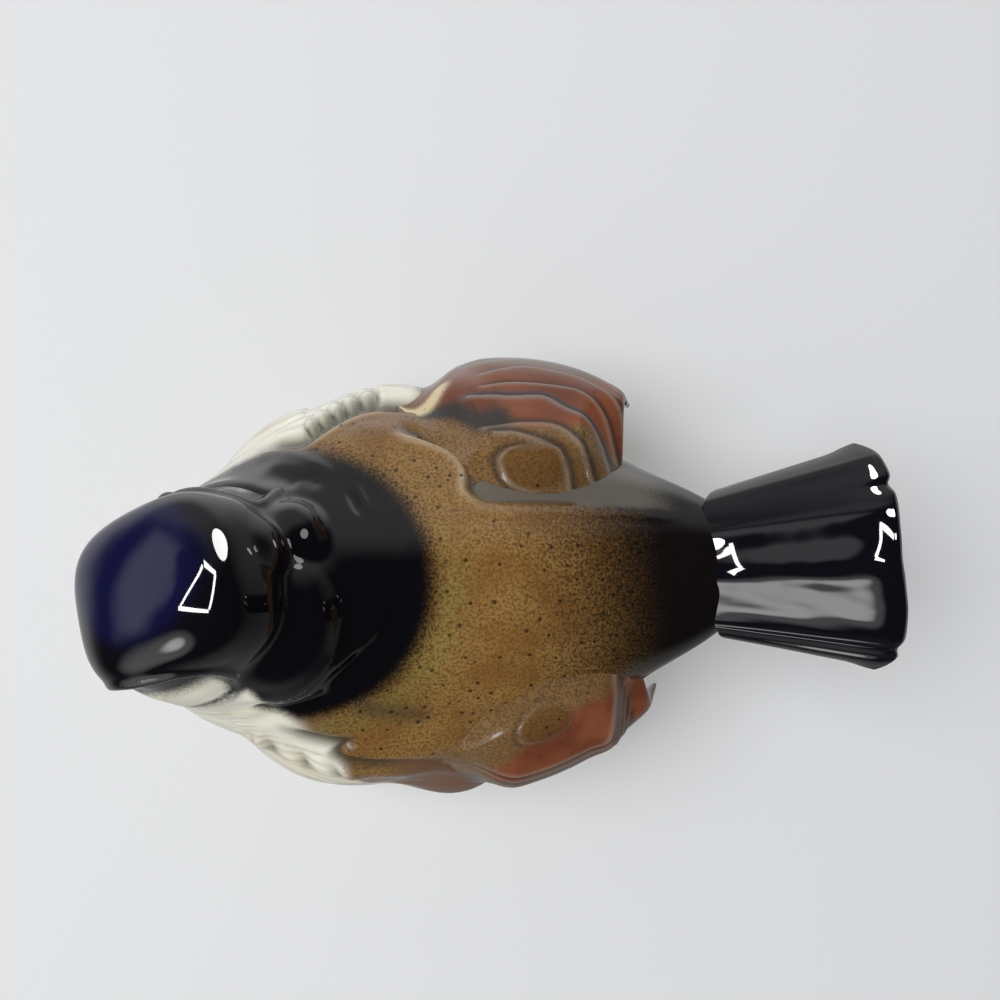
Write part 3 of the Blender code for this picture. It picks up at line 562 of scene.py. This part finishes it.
# The cheek's pocket lies lower on the right side, where the tilted crown hides it from above
right = aside > 0
side_view = np.stack([aft + 4.0 * right, above + 8.0 * right], axis=-1)
outside = smooth(np.abs(aside), 5.5, 8.0)
pocket, pocket_along = beside(side_view, CHEEK_LOOP, 12)
pocket_fade = smooth(pocket_along, 0.02, 0.12) * smooth(1 - pocket_along, 0.0, 0.15) * outside
relief = (0.5 * bead(pocket - 0.1, 0.7) - 0.7 * smooth(-pocket, 0.2, 1.6)
          * smooth(side_view[..., 1], -5, 1)) * pocket_fade
relief += collar(skin[..., :2], smooth(normal[..., 2], 0.02, 0.25)) * smooth(72 - skin[..., 2], 0, 4)
cheek_mark = smooth(-pocket, 0.2, 2.5) * smooth(2.0 - side_view[..., 1], 0, 6) * outside
cheek_mark = cheek_mark * np.where(right, smooth(-normal[..., 2], -0.16, 0.0), 1)
throat_mark = smooth(-above, 6.0, 9.0) * smooth(9.5 - 6 * right - aft, 0, 3)
white_mark = np.maximum(cheek_mark, throat_mark)
# The white stops short of the neck joint, but not on the left, where it runs on down the breast
above_seam = (skin - SEAM) @ SEAM_UP
white_mark = white_mark * np.maximum(smooth(above_seam, 0.6, 3.0), smooth(-aside, 2, 6))
cobalt_mark = smooth(-np.hypot((aft + 0.5) / 13.0, (aside - 2.0) / 11.2), -1.1, -0.6)
cobalt_mark = cobalt_mark * smooth(above, 0, 4)
skin = skin + normal * relief[..., None]
head = ball_mesh("glazed_head", skin, {
    "white": white_mark, "cobalt": cobalt_mark, "edge": bead(pocket, 0.5) * pocket_fade})


def head_glaze():
    """Cobalt washed over a black cap, and white cheeks that shade to grey at the carved edge."""
    glaze = Glaze("head_glaze")
    black = glaze.noise(50.0).over((12, 10, 14), (14, 12, 17))
    white = glaze.noise(120.0).step(0.4, 0.7).over((246, 243, 228), (236, 231, 208))
    colour = glaze.airbrush(black, "cobalt", (18, 18, 56))
    colour = glaze.airbrush(colour, "white", white)
    return glaze.paint(glaze.brush(colour, "edge", (96, 96, 98), 0.35))


head.data.materials.append(head_glaze())
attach(head, "root")
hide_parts("head_shell")


# Wings: solid pressed blades stuck to the flanks, half open. Long feathers overlap outwards below
# rows of coverts and one raised oval tuft, rust at the edge, ochre above, painted grey shade in the
# hollows and painted highlights on the feather edges.
WING_FRONT = -1.2
WING_LENGTH = 39.2
WING_TOP_SHORTENING = 5.0
WING_TOP_ANGLES = (20.0, 58.0, 72.0, 62.0, 48.0)
WING_FOOT_ANGLES = (12.0, -12.0, -17.0, -12.0, 2.0)
WING_SPAN = (38.0, 45.0)
WING_RIM = 1.2
WING_EMBEDDING = 0.6
WING_DROP = 2.0
WING_THICKNESS = 2.2
WING_SWELL = 2.0
FEATHER_STEP = 0.6
# For the left and right wing: the ellipsoid of its outer face, as aft shift and lengths, the share of its
# length over which it rises out of the flank, at its top and lower down, and its oval tuft, as middle,
# half sizes and rise
WING_ELLIPSOIDS = {-1: (4.0, (90.0, 73.0, 59.7)), 1: (14.0, (78.0, 77.6, 56.9))}
WING_RISES = {-1: (0.42, 0.38), 1: (0.44, 0.28)}
OVALS = {-1: ((20.4, 8.8), (4.6, 4.0), 0.35), 1: ((22.5, 5.0), (5.5, 3.3), 0.9)}
LEFT_RIM = ((5, 10), (7.5, 12.9), (12, 17), (16.9, 19.5), (24.6, 19.7), (30.1, 17.7), (32.5, 9.6),
            (34.2, 1.8))
FEATHER_EDGES = {
    -1: tuple(tuple((a, b + drop) for a, b in LEFT_RIM) for drop in (0, 2.8, 6.5, 11, 16)),
    1: (
        ((16, 8.9), (16.8, 9.7), (20.8, 10.2), (26.1, 8.1), (28.4, 4.9), (29.5, 0)),
        ((13.5, 9.8), (15.4, 10.7), (20.8, 12.4), (26.2, 12), (30, 8.6), (33.5, 1.5), (34.5, -2)),
        ((11.5, 16.2), (13.8, 17), (19.2, 17.3), (24.6, 17.7), (28.1, 15.8), (33.8, 11.6), (36.6, 3.8)),
        ((13.5, 19.2), (16.7, 20), (21.1, 20.8), (27.9, 20.8), (31, 20.2), (35, 16.7), (37.5, 9.5)),
        ((13.5, 23), (17.1, 24.4), (21.8, 26), (26.5, 26), (32, 25.1), (37.4, 20.1), (39, 14.8)),
        ((11, 27.4), (17, 29.4), (26, 30.6), (34, 29), (39, 24.5)),
        ((9, 32.4), (19, 35), (30, 34), (39, 29)),
        ((7, 37), (19, 40), (30, 38.8), (39, 34)),
    ),
}
SHADE = ((-1, 8.5), (1, 10), (4.5, 13.4), (10, 14), (14, 12), (17.5, 13))
WEDGE = ((1, 11), (4.6, 15.7), (7.8, 21.4))
LILAC = FEATHER_EDGES[1][2]


def bezier(controls, share):
    """A smooth value through a row of controls, each weighed by its Bernstein polynomial."""
    last = len(controls) - 1
    return sum(math.comb(last, i) * (1 - share) ** (last - i) * share ** i * value
               for i, value in enumerate(controls))


def wing_form(points, side):
    """The long ellipsoid round a flank that the outer face of a wing lies on."""
    aft, lengths = WING_ELLIPSOIDS[side]
    return ellipsoid(points, TORSO + (aft, 0.0, 0.0), lengths)


def plate_mesh(name, outer, inner, marks):
    """A closed plate: its outer and inner grids share one band of faces round the rim."""
    rows, columns = outer.shape[:2]
    index = np.arange(rows * columns).reshape(rows, columns)
    under = index + rows * columns
    top = np.stack([index[:-1, :-1], index[1:, :-1], index[1:, 1:], index[:-1, 1:]], axis=-1)
    foot = np.stack([under[:-1, :-1], under[:-1, 1:], under[1:, 1:], under[1:, :-1]], axis=-1)
    rim = np.r_[index[:, 0], index[-1, 1:], index[-2::-1, -1], index[0, -2:0:-1]]
    on = np.roll(rim, -1)
    band = np.stack([rim, rim + rows * columns, on + rows * columns, on], axis=-1)
    faces = np.vstack([top.reshape(-1, 4), foot.reshape(-1, 4), band])
    points = np.vstack([outer.reshape(-1, 3), inner.reshape(-1, 3)])
    doubled = {key: np.tile(values.reshape(-1), 2) for key, values in marks.items()}
    return put_mesh(name, points, faces, doubled)


def wing_carving(u, v, side):
    """Height of a wing's face and its paint marks, by millimetres behind its front and below its top.

    The face steps down outwards. Each feather rises softly towards its own edge and ends there in a
    small step on to the next, and the oval tuft is a low dome in a shallow ring.
    """
    place = np.stack([u, v], axis=-1)
    height = -WING_DROP * smooth(v, 18, 42)
    dark, light = np.zeros(u.shape), np.zeros(u.shape)
    for stops in FEATHER_EDGES[side]:
        past, along = beside(place, stops, 12)
        along = smooth(along, 0.0, 0.2 if side > 0 else 0.4)
        height += FEATHER_STEP * along * smooth(past, 0.45, -0.45) * smooth(past, -6.0, 0.0)
        # A dark line along each feather's step, partly its grey edging and partly painted shade, and a
        # painted highlight just inside its edge
        dark = np.maximum(dark, bead(past - 0.5, 0.6) * along)
        light = np.maximum(light, bead(past + 0.45, 0.5) * along)
    middle, half, rise = OVALS[side]
    oval = np.hypot((u - middle[0]) / half[0], (v - middle[1]) / half[1])
    height += rise * (np.sqrt(np.clip(1 - oval ** 2, 0, 1)) - 0.45 * bead(oval - 1.12, 0.13))
    # Painted shade in the oval's ring and a painted highlight on its rim, both strongest on the side that
    # faces the front
    facing_front = smooth(-(u - middle[0]) - (v - middle[1]) * 0.5, -2, 3)
    dark = np.maximum(dark, rise * bead(oval - 1.12, 0.12) * (0.25 + 0.75 * facing_front))
    light = np.maximum(light, rise * bead(oval - 0.93, 0.09) * facing_front)
    if side > 0:
        rust = smooth(v, 10.0, 13.0) * smooth(u + 0.6 * (v - 12), 5, 12)
        # Painted shade in the hollow between the shoulder and the wing, and along the wing's top edge
        shade = bead(beside(place, SHADE, 12)[0], 2.6)
        shade = np.maximum(shade, 0.6 * smooth(4 - v, 0, 4) * smooth(30 - u, 0, 10))
        wedge = bead(beside(place, WEDGE, 12)[0], 1.7)
        lilac = bead(beside(place, LILAC, 12)[0] - 0.2, 1.1) * smooth(u, 8, 14)
        band = smooth(v, 26.0, 28.5)
    else:
        rust = smooth(v + 0.5 * (u - 20), 7.5, 13.5) * smooth(u, 6, 14)
        # Painted shade in the hollow along the top of the left wing
        shade = bead(np.hypot((u - 24) / 8, (v + 1) / 4), 1.0) * 0.6
        wedge, lilac = np.zeros(u.shape), np.zeros(u.shape)
        band = smooth(v, 19.5, 21.5)
    return height, {"rust": rust, "dark": dark, "light": light, "oval": smooth(-oval, -1.1, -0.85),
                    "wedge": wedge, "shade": shade, "lilac": lilac, "band": band}


def make_wing(name, side):
    """One wing: rays from the torso's axis meet the wing form and are raised by the carving.

    Towards its front and top the outer face sinks into the flank, and the inner face keeps below it.
    """
    s = np.linspace(0, 1, 210)[:, None]
    t = np.linspace(0, 1, 190)[None, :]
    u, v = np.broadcast_arrays(s * WING_SPAN[0], t * WING_SPAN[1])
    height, marks = wing_carving(u, v, side)
    x = WING_FRONT + s * (WING_LENGTH - WING_TOP_SHORTENING * (1 - t))
    top, foot = bezier(WING_TOP_ANGLES, s), bezier(WING_FOOT_ANGLES, s)
    angle = np.radians(top + (foot - top) * t)
    start = np.stack(np.broadcast_arrays(x, 0.0, TORSO[2]), axis=-1)
    outward = np.stack([np.zeros_like(angle), side * np.cos(angle), np.sin(angle)], axis=-1)
    on_wing = leave(lambda points: wing_form(points, side), start, outward)
    on_body = leave(bird_form, start, outward)
    high, low = WING_RISES[side]
    proud = smooth(s, 0, high + (low - high) * smooth(t, 0.18, 0.5)) * smooth(t, 0, 0.15)
    proud = proud * (1 - (1 - smooth(1 - s, 0, 0.2)) * smooth(-t, -0.5, -0.15))
    embedded = on_body - WING_EMBEDDING
    radius = embedded + (on_wing + height - embedded) * proud
    rim = np.minimum(np.minimum((1 - s) * WING_SPAN[0], (1 - t) * WING_SPAN[1]), WING_RIM) / WING_RIM
    round_off = 1 - np.sqrt(1 - (1 - rim) ** 2)
    swell = np.clip(16 * s * (1 - s), 0, 1) * np.clip(16 * t * (1 - t), 0, 1)
    thickness = WING_THICKNESS + WING_SWELL * swell
    under = np.minimum(on_wing - thickness, radius - 2.0)
    outer = start + outward * (radius - round_off)[..., None]
    inner = start + outward * (under + round_off * 0.9)[..., None]
    if side < 0:
        outer, inner = outer[:, ::-1], inner[:, ::-1]
        marks = {key: values[:, ::-1] for key, values in marks.items()}
    return plate_mesh(name, outer, inner, marks)


def wing_glaze():
    """Rust feathers edged in grey, with painted shade in their steps and a painted highlight along each
    edge, ochre coverts with dark specks, and a cream wrist beside painted grey shade.
    """
    glaze = Glaze("wing_glaze")
    cloud = glaze.noise(110.0).step(0.35, 0.65)
    ochre = cloud.over((136, 104, 66), (122, 92, 56))
    ochre = glaze.grain.step(0.40, 0.64).over(ochre, (98, 76, 50))
    rust = cloud.over((134, 78, 54), (112, 62, 42))
    colour = glaze.airbrush(ochre, "rust", rust)
    colour = glaze.airbrush(colour, "lilac", (106, 98, 104), 0.8)
    colour = glaze.airbrush(colour, "band", (104, 84, 72), 0.85)
    colour = glaze.airbrush(colour, "shade", (58, 54, 52), 0.95)
    colour = glaze.airbrush(colour, "oval", (98, 66, 32), 0.6)
    colour = glaze.airbrush(colour, "wedge", (214, 196, 156))
    # Painted highlights along the feather edges and the oval's rim, and painted shade in the steps and
    # the ring
    colour = glaze.brush(colour, "light", (168, 152, 136), 0.4)
    colour = glaze.brush(colour, "dark", (56, 48, 44), 0.75)
    dots = glaze.specks(620.0, 0.24, 0.45) * (glaze.mark("oval") * 0.7 + 0.3)
    return glaze.paint((dots * 0.8).over(colour, (34, 24, 16)))


wing_paint = wing_glaze()
for name, side in (("wing_left", -1), ("wing_right", 1)):
    wing = make_wing("glazed_" + name, side)
    wing.data.materials.append(wing_paint)
    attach(wing, "root")
    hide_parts(name)


# Tail: a solid fan of feathers, cocked up and stuck on by a tenon, in the same black glaze. Its top
# has soft facets, its edges are stepped where the feathers overlap, and its end is thick and rounded.
TAIL_ROOT = np.array([46.2, 0.0, 44.5])
TAIL_AXES = turned(0.0, 38.0)
TAIL_GAP = 0.3
TAIL_LENGTH = 28.1
TAIL_WIDTH = 23.5
TAIL_SPREAD = 10.0
TAIL_ARCH = 6.0
TAIL_DEPTH = 5.6
TAIL_ROOT_SWELL = 3.4
TAIL_FEATHERS_BELOW = 7
TAIL_CORNER_ROUND = 2.2
# Across the tail, from -1 to 1: notches of its end with their depth, and the steps of its left edge
TAIL_NOTCHES = ((0.62, 0.7), (-0.8, 0.6))
TAIL_STEPS = (-0.86, -0.75)
# Across it again, the rise of its top where each facet begins
TAIL_FACETS = ((-1, -0.7), (-0.92, 0.15), (-0.86, -0.35), (-0.79, 0.3), (-0.74, -0.3), (-0.66, 0.05),
               (-0.55, 0.2), (-0.42, 0), (-0.28, 0.05), (-0.16, 0.35), (-0.05, 0.25), (0.2, -0.1),
               (0.42, 0.3), (0.52, 0.05), (0.75, -0.05), (0.86, 0.3), (0.91, 0), (1, -0.5))

u = np.linspace(0, 1, 120)[:, None]
v = np.linspace(-1, 1, 230)[None, :]
half_width = (TAIL_WIDTH + TAIL_SPREAD * u) / 2
corner = np.where(v > 0, 4.8, 5.0)
notch = sum(deep * bead(v - place, 0.05) for place, deep in TAIL_NOTCHES)
round_corner = TAIL_CORNER_ROUND * (np.maximum(np.abs(v) - 0.84, 0) / 0.16) ** 2.5
along = TAIL_GAP + u * (TAIL_LENGTH - corner * np.abs(v) ** 3)
along = along - (notch + round_corner) * smooth(u, 0.7, 1.0)
facets = smooth_line(TAIL_FACETS, 400)
facet = np.interp(v, facets[:, 0], facets[:, 1]) * (0.35 + 0.65 * u)
arch = -TAIL_ARCH * np.abs(v) ** 1.6 * (1 + u) / 2
half_depth = (TAIL_DEPTH + TAIL_ROOT_SWELL * (1 - u) ** 2) / 2
side_round = np.sqrt(np.maximum(1 - v ** 8, 0.03))
end_round = np.sqrt(np.maximum(1 - u ** 12, 0.06))
waves = 0.05 * np.sin(7 * u + 6 * v) * np.sin(16 * v + 5 * u ** 2) * smooth(-v, -0.1, 0.3)
height = arch + half_depth * side_round * end_round + (facet + waves) * end_round
depth = arch - half_depth * side_round * end_round
depth = depth + 0.3 * np.cos(v * np.pi * TAIL_FEATHERS_BELOW) * u * end_round


def tail_place(level):
    """Points of the tail from its length, width and level, turned up about its root."""
    flat = np.stack(np.broadcast_arrays(along, half_width * v, level), axis=-1)
    return TAIL_ROOT + flat @ TAIL_AXES.T


# The step mark greys the glaze on the left edge's steps: thinner glaze there and a painted highlight
# along them
tail = plate_mesh("glazed_tail", tail_place(height), tail_place(depth), {
    "step": np.broadcast_to(sum(bead(v - place, 0.03) for place in TAIL_STEPS), height.shape)})


def black_glaze():
    """Blue-black, a little greyer on the carved steps, where the glaze runs thinner and a painted
    highlight lies along them.
    """
    glaze = Glaze("black_glaze")
    colour = glaze.noise(70.0).over((10, 10, 14), (15, 16, 24))
    return glaze.paint(glaze.brush(colour, "step", (40, 40, 46), 0.3))


tail.data.materials.append(black_glaze())
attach(tail, "root")
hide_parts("tail")


# Beak: a small solid cone pressed on to the face, with the line of the closed mouth cut along it.
BEAK_LENGTH = 9.5
BEAK_RADIUS = 4.0
BEAK_AIM_BELOW = 15.0
BEAK_ROOT_BELOW = 8.0


def head_direction(from_front, below_level, side=1):
    """A direction in the head's own axes: so far round from the front, so far below its level."""
    level, drop = np.radians((from_front, below_level))
    local = (-np.cos(level) * np.cos(drop), side * np.sin(level) * np.cos(drop), -np.sin(drop))
    return HEAD_AXES @ np.array(local)


def on_head(direction):
    """The point of the skin that a direction from the head's middle meets."""
    return HEAD + direction * leave(bird_form, HEAD, direction[None, :])[0]


def tube_grid(path, radii, sideways, sides):
    """A bar along a path: at each station a ring of the radius given, squared up to the path.

    Its first and last ring shrink to a point, which closes it.
    """
    radii = np.r_[0.0, radii[1:-1], 0.0]
    ahead = unit(np.gradient(path, axis=0))
    across = unit(np.cross(ahead, sideways))
    up = np.cross(across, ahead)
    turn = np.linspace(0, 2 * np.pi, sides, endpoint=False)
    ring = np.cos(turn)[:, None] * across[:, None, :] + np.sin(turn)[:, None] * up[:, None, :]
    return path[:, None, :] + radii[:, None, None] * ring


steps = np.linspace(-0.35, 1.0, 60)
aim = head_direction(0.0, BEAK_AIM_BELOW)
path = on_head(head_direction(0.0, BEAK_ROOT_BELOW)) + steps[:, None] * aim * BEAK_LENGTH
path = path - HEAD_AXES[:, 2] * (0.6 * np.maximum(steps, 0) ** 2)[:, None]
radii = BEAK_RADIUS * (1.02 - np.maximum(steps, 0) ** 1.25)
grid = tube_grid(path, radii, HEAD_AXES[:, 1], 56)
mouth = np.abs((grid - path[:, None, :]) @ HEAD_AXES[:, 2] + 0.5)
beak = ball_mesh("glazed_beak", grid, {"mouth": bead(mouth, 0.22)})


def horn_glaze():
    """Dark horn with paler clouds, and a darker line where it is marked."""
    glaze = Glaze("horn_glaze")
    colour = glaze.noise(300.0).step(0.35, 0.7).over((52, 46, 42), (76, 68, 60))
    return glaze.paint(glaze.brush(colour, "mouth", (14, 12, 12), 0.9))


horn = horn_glaze()
beak.data.materials.append(horn)
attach(beak, "root")
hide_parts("beak")


# Eyes: round beads pressed into seats on either side of the head, dark brown round a black pupil.
EYE_RADIUS = 1.8
EYE_SINK = 1.0
EYE_FROM_FRONT = 60.0
EYE_BELOW = 10.0
UP = np.array([0.0, 0.0, 1.0])


def eye_glaze():
    """Black pupil in a narrow dark brown ring."""
    glaze = Glaze("eye_glaze", roughness=0.03)
    pupil = (glaze.mark("pupil") + glaze.noise(400.0) * 0.05).step(0.55, 0.6)
    return glaze.paint(pupil.over((58, 34, 18), (6, 5, 6)))


eye_paint = eye_glaze()
for name, side in (("eye_left", -1), ("eye_right", 1)):
    aim = head_direction(EYE_FROM_FRONT, EYE_BELOW, side)
    middle = on_head(aim) - aim * EYE_SINK
    across = unit(np.cross(aim, UP))
    rays = globe(40, 60, np.stack([aim, across, np.cross(aim, across)], axis=-1))
    eye = ball_mesh("glazed_" + name, middle + rays * EYE_RADIUS, {"pupil": rays @ aim})
    eye.data.materials.append(eye_paint)
    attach(eye, "root")
    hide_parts(name)


# Feet: three toes and a short leg each, rolled from coils of clay and stuck under the breast.
TOE_LENGTH = 13.0
TOE_RADIUS = 1.5
TOE_SPLAY = 26.0
TOE_WAVES = 2.5
KNUCKLE_SWELL = 0.07
FOOT_FORWARD = 23.0
FOOT_ASIDE = 10.0
LEG_RADIUS = 2.1
LEG_HEIGHT = 12.0
RING_SIDES = 24


def make_foot(name, side):
    """Toes are tapered bars whose radius swells at each knuckle, and the leg is a plain bar."""
    root = np.array([-FOOT_FORWARD, side * FOOT_ASIDE, TOE_RADIUS])
    grids = []
    for splay in (-TOE_SPLAY, 0.0, TOE_SPLAY):
        heading = np.radians(180 + splay)
        ahead = np.array([np.cos(heading), np.sin(heading), 0.0])
        steps = np.linspace(0, 1, 60)
        knuckles = 1 + KNUCKLE_SWELL * (np.cos(2 * np.pi * TOE_WAVES * steps) - 1)
        radii = TOE_RADIUS * knuckles * np.sqrt(1 - steps ** 6)
        path = root + ahead * (1.05 + TOE_LENGTH * steps)[:, None]
        path[:, 2] += radii - TOE_RADIUS
        grids.append(tube_grid(path, radii, UP, RING_SIDES))
    rise = np.linspace(-TOE_RADIUS / 2, LEG_HEIGHT, 60)
    radii = np.full(rise.shape, LEG_RADIUS)
    grids.append(tube_grid(root + rise[:, None] * UP, radii, np.array([1.0, 0.0, 0.0]), RING_SIDES))
    pieces = [ball_mesh(name, grid, {"mouth": np.zeros(grid.shape[:2])}) for grid in grids]
    with bpy.context.temp_override(active_object=pieces[0], selected_editable_objects=pieces):
        bpy.ops.object.join()
    return pieces[0]


for name, side in (("foot_left", -1), ("foot_right", 1)):
    foot = make_foot("glazed_" + name, side)
    foot.data.materials.append(horn)
    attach(foot, "root")
    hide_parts(name)


# Table: a matt pale board that the bird rests on, and that fills the picture. It isn't part of the
# object, and the glaze doesn't mirror it: the room's own floor stands for it there.
TABLE_FRONT = -1000.0
TABLE_BACK = 420.0
TABLE_SIDE = 900.0
corners = np.array([(TABLE_FRONT, -TABLE_SIDE, 0), (TABLE_BACK, -TABLE_SIDE, 0),
                    (TABLE_BACK, TABLE_SIDE, 0), (TABLE_FRONT, TABLE_SIDE, 0)])
table = put_mesh("table", corners, [(0, 1, 2, 3)], {})
table_paint = bpy.data.materials.new("table_paint")
table_paint.use_nodes = True
table_shader = table_paint.node_tree.nodes["Principled BSDF"]
table_shader.inputs["Base Color"].default_value = stain(232, 233, 235)
table_shader.inputs["Roughness"].default_value = 0.6
table.data.materials.append(table_paint)
table.visible_glossy = False


# Highlights: small bright things of the room in the glaze. The camera's place is in millimetres, its
# turn about the vertical in degrees, and its focal length and the picture's middle in pixels.
CAMERA = np.array([14.2, 13.4, 200.0])
CAMERA_TURN = -5.5
FOCAL_PIXELS = 1000.0
PICTURE_MIDDLE = 500.0
NEIGHBOURS = 12
# By their places in the picture, in pixels: strokes as start, end and width, and spots as middle, half
# width and half height. Each is a small lamp that only its piece mirrors. Reach is how far off it stands.
REACH = 8.0
NEAR_REACH = 4.0
BRIGHT = 30.0
MIDDLING = 16.0
FAINT = 3.0
HEAD_STROKES = (((203.5, 563.5), (216, 574.5), 4), ((216, 575), (209.5, 610), 2),
                ((178, 608), (210, 611), 4), ((203, 565), (180, 606), 2))
HEAD_SPOTS = (((220, 544), 7, 16),)
NAPE_SPOTS = (((257, 548), 4, 4), ((304, 534), 4, 5))
TAIL_ROOT_STROKES = (((718, 557.5), (732, 550.5), 4), ((731.5, 550), (742, 568.5), 4),
                     ((742.5, 568), (730.5, 573), 4))
TAIL_ROOT_SPOTS = (((716, 543.5), 9, 5.5),)
TAIL_END_STROKES = (((881, 525), (895.5, 536.5), 5), ((882, 526), (876.5, 558), 3),
                    ((875.5, 558), (885, 561), 3))
TAIL_END_SPOTS = (((890, 513), 4, 4), ((873.5, 474.5), 4, 5))
HIGHLIGHTS = (
    (head, HEAD_STROKES, (), REACH, BRIGHT),
    (head, (), HEAD_SPOTS, REACH, MIDDLING),
    (head, (), NAPE_SPOTS, NEAR_REACH, FAINT),
    (tail, TAIL_ROOT_STROKES, TAIL_ROOT_SPOTS, REACH, BRIGHT),
    (tail, TAIL_END_STROKES, TAIL_END_SPOTS, REACH, BRIGHT),
)


def stroke(start, end, width):
    """The two ends of a straight stroke of a picture, and its two edges half way along it."""
    start, end = np.array(start, float), np.array(end, float)
    ahead = unit(end - start)
    side = np.array([-ahead[1], ahead[0]]) * width / 2
    middle = (start + end) / 2
    return np.array([start, end, middle - side, middle + side])


def spot(middle, half_width, half_height):
    """The left, right, top and bottom of an oval spot of a picture."""
    wide, high = np.array([half_width, 0]), np.array([0, half_height])
    return np.array(middle) + np.array([-wide, wide, -high, high])


def mirrored(piece, places, reach):
    """Where lamps have to stand for a piece to mirror them to the camera at places of the picture.

    The piece's point and normal at each place come from a plane fitted through the points that the
    camera sees nearest to it. The line of sight is turned back about that normal for the reach given.
    """
    count = len(piece.data.vertices)
    points, normals = np.empty(count * 3), np.empty(count * 3)
    piece.data.vertices.foreach_get("co", points)
    piece.data.vertex_normals.foreach_get("vector", normals)
    points, normals = points.reshape(-1, 3) / MM, normals.reshape(-1, 3)
    local = (points - CAMERA) @ turned(CAMERA_TURN)
    pixels = PICTURE_MIDDLE + FOCAL_PIXELS * local[:, :2] * (1, -1) / -local[:, 2:]
    stands = []
    for place in places:
        offset = pixels - place
        nearest = np.argsort((offset ** 2).sum(-1) + 1e6 * (normals[:, 2] < 0.05))[:NEIGHBOURS]
        plane = np.column_stack([np.ones(NEIGHBOURS), offset[nearest]])
        point = np.linalg.lstsq(plane, points[nearest], rcond=None)[0][0]
        normal = unit(np.linalg.lstsq(plane, normals[nearest], rcond=None)[0][0])
        sight = unit(point - CAMERA)
        stands.append(point + (sight - 2 * (sight @ normal) * normal) * reach)
    return np.array(stands), point


def lamp(name, shape, strength, stands, lit, seen_in):
    """A flat lamp between four places, turned to the point it lights, for one collection to mirror.

    Its power is four times its area times the strength at which its mirror image shines.
    """
    data = bpy.data.lights.new(name, 'AREA')
    data.shape = shape
    across, up = stands[1] - stands[0], stands[3] - stands[2]
    data.size = np.linalg.norm(across) * MM
    across = unit(across)
    up = up - (up @ across) * across
    data.size_y = np.linalg.norm(up) * MM
    back = np.cross(across, unit(up))
    middle = stands.mean(axis=0)
    if (lit - middle) @ back > 0:
        across, back = -across, -back
    data.energy = 4 * strength * data.size * data.size_y
    made = put_object(name, data)
    made.matrix_world = Matrix(np.column_stack([across, unit(up), back]).tolist()).to_4x4()
    made.location = middle * MM
    made.visible_camera = False
    made.visible_diffuse = False
    made.light_linking.receiver_collection = seen_in


mirrors = {}
for piece in (head, tail):
    mirrors[piece] = bpy.data.collections.new("mirrors_" + piece.name)
    mirrors[piece].objects.link(piece)
for piece, strokes, spots, reach, strength in HIGHLIGHTS:
    for each in strokes:
        lamp("stroke", 'RECTANGLE', strength, *mirrored(piece, stroke(*each), reach), mirrors[piece])
    for each in spots:
        lamp("spot", 'ELLIPSE', strength, *mirrored(piece, spot(*each), reach), mirrors[piece])


# Window light: a square soft lamp, high in front of the bird and turned to the origin. Its side and
# place are in metres and its power is in watts. The gloss sees the room's own window instead.
WINDOW_SIDE = 0.5
WINDOW_PLACE = (-0.32, 0.12, 0.80)
WINDOW_POWER = 4.3
window_light = bpy.data.lights.new("window_light", 'AREA')
window_light.size = WINDOW_SIDE
window_light.energy = WINDOW_POWER
window = put_object("window_light", window_light)
window.location = WINDOW_PLACE
window.rotation_euler = Vector(WINDOW_PLACE).to_track_quat('Z', 'Y').to_euler()
window.visible_glossy = False


def room():
    """Soft daylight from all round. The gloss sees a dark room, where some parts shine.

    These are a wall to the bird's right, the table below, which is dimmer to the bird's left, a window
    to its front left, and a pale ceiling in front, which ends at a straight edge.
    """
    world = bpy.data.worlds.new("room")
    bpy.context.scene.world = world
    world.use_nodes = True
    tree = world.node_tree
    wires = Wire(tree)
    direction = wires.node("TexCoord", output="Generated")

    def share(towards, start, end):
        """A soft step, from 0 to 1, of how much the direction points this way."""
        lean = wires.node("VectorMath", {0: direction, 1: towards}, output="Value",
                          operation='DOT_PRODUCT')
        return lean.step(start, end)

    wall = share((0, 0, -1), -0.86, -0.55) * share((0, 1, 0), 0.45, 0.85)
    below = share((0, 0, -1), 0.0, 0.45) * (0.2 + 0.45 * share((-0.6, 0.8, 0.0), -0.5, 0.4))
    ceiling = (share((0, 0, 1), 0.10, 0.40) * share((0, -1, 0), -0.62, -0.40)
               * share((0, 1, 0), -0.28, -0.10) * share((0.14, 0.38, -0.92), -0.60, -0.53)
               * share((-1, 0, 0), 0.0, 0.6))
    window = share(tuple(unit(np.array([-0.62, -0.65, 0.45]))), 0.88, 0.97)
    sun = share(tuple(unit(np.array([-0.62, -0.60, 0.50]))), 0.975, 0.999)
    seen = 0.02 + 0.6 * wall + below + 0.95 * ceiling + 1.3 * window + 6.0 * sun
    glossy = wires.node("LightPath", output="Is Glossy Ray")
    camera = wires.node("LightPath", output="Is Camera Ray")
    plain = 0.47 * (1.0 - glossy) + seen * glossy
    strength = plain * (1.0 - camera) + 0.80 * camera
    background = tree.nodes["Background"]
    background.inputs["Color"].default_value = (1.0, 1.0, 1.0, 1.0)
    tree.links.new(strength.socket, background.inputs["Strength"])


room()


# Camera: a plain lens that looks straight down, over a place a little behind the bird's middle and
# to its right, at the photo's height and turn.
camera_data = bpy.data.cameras.new("overhead")
camera_data.lens = camera_data.sensor_width * FOCAL_PIXELS / (2 * PICTURE_MIDDLE)
camera = put_object("overhead", camera_data)
camera.location = CAMERA * MM
camera.rotation_euler = (0.0, 0.0, math.radians(CAMERA_TURN))
bpy.context.scene.camera = camera
bpy.context.scene.view_settings.view_transform = 'Standard'
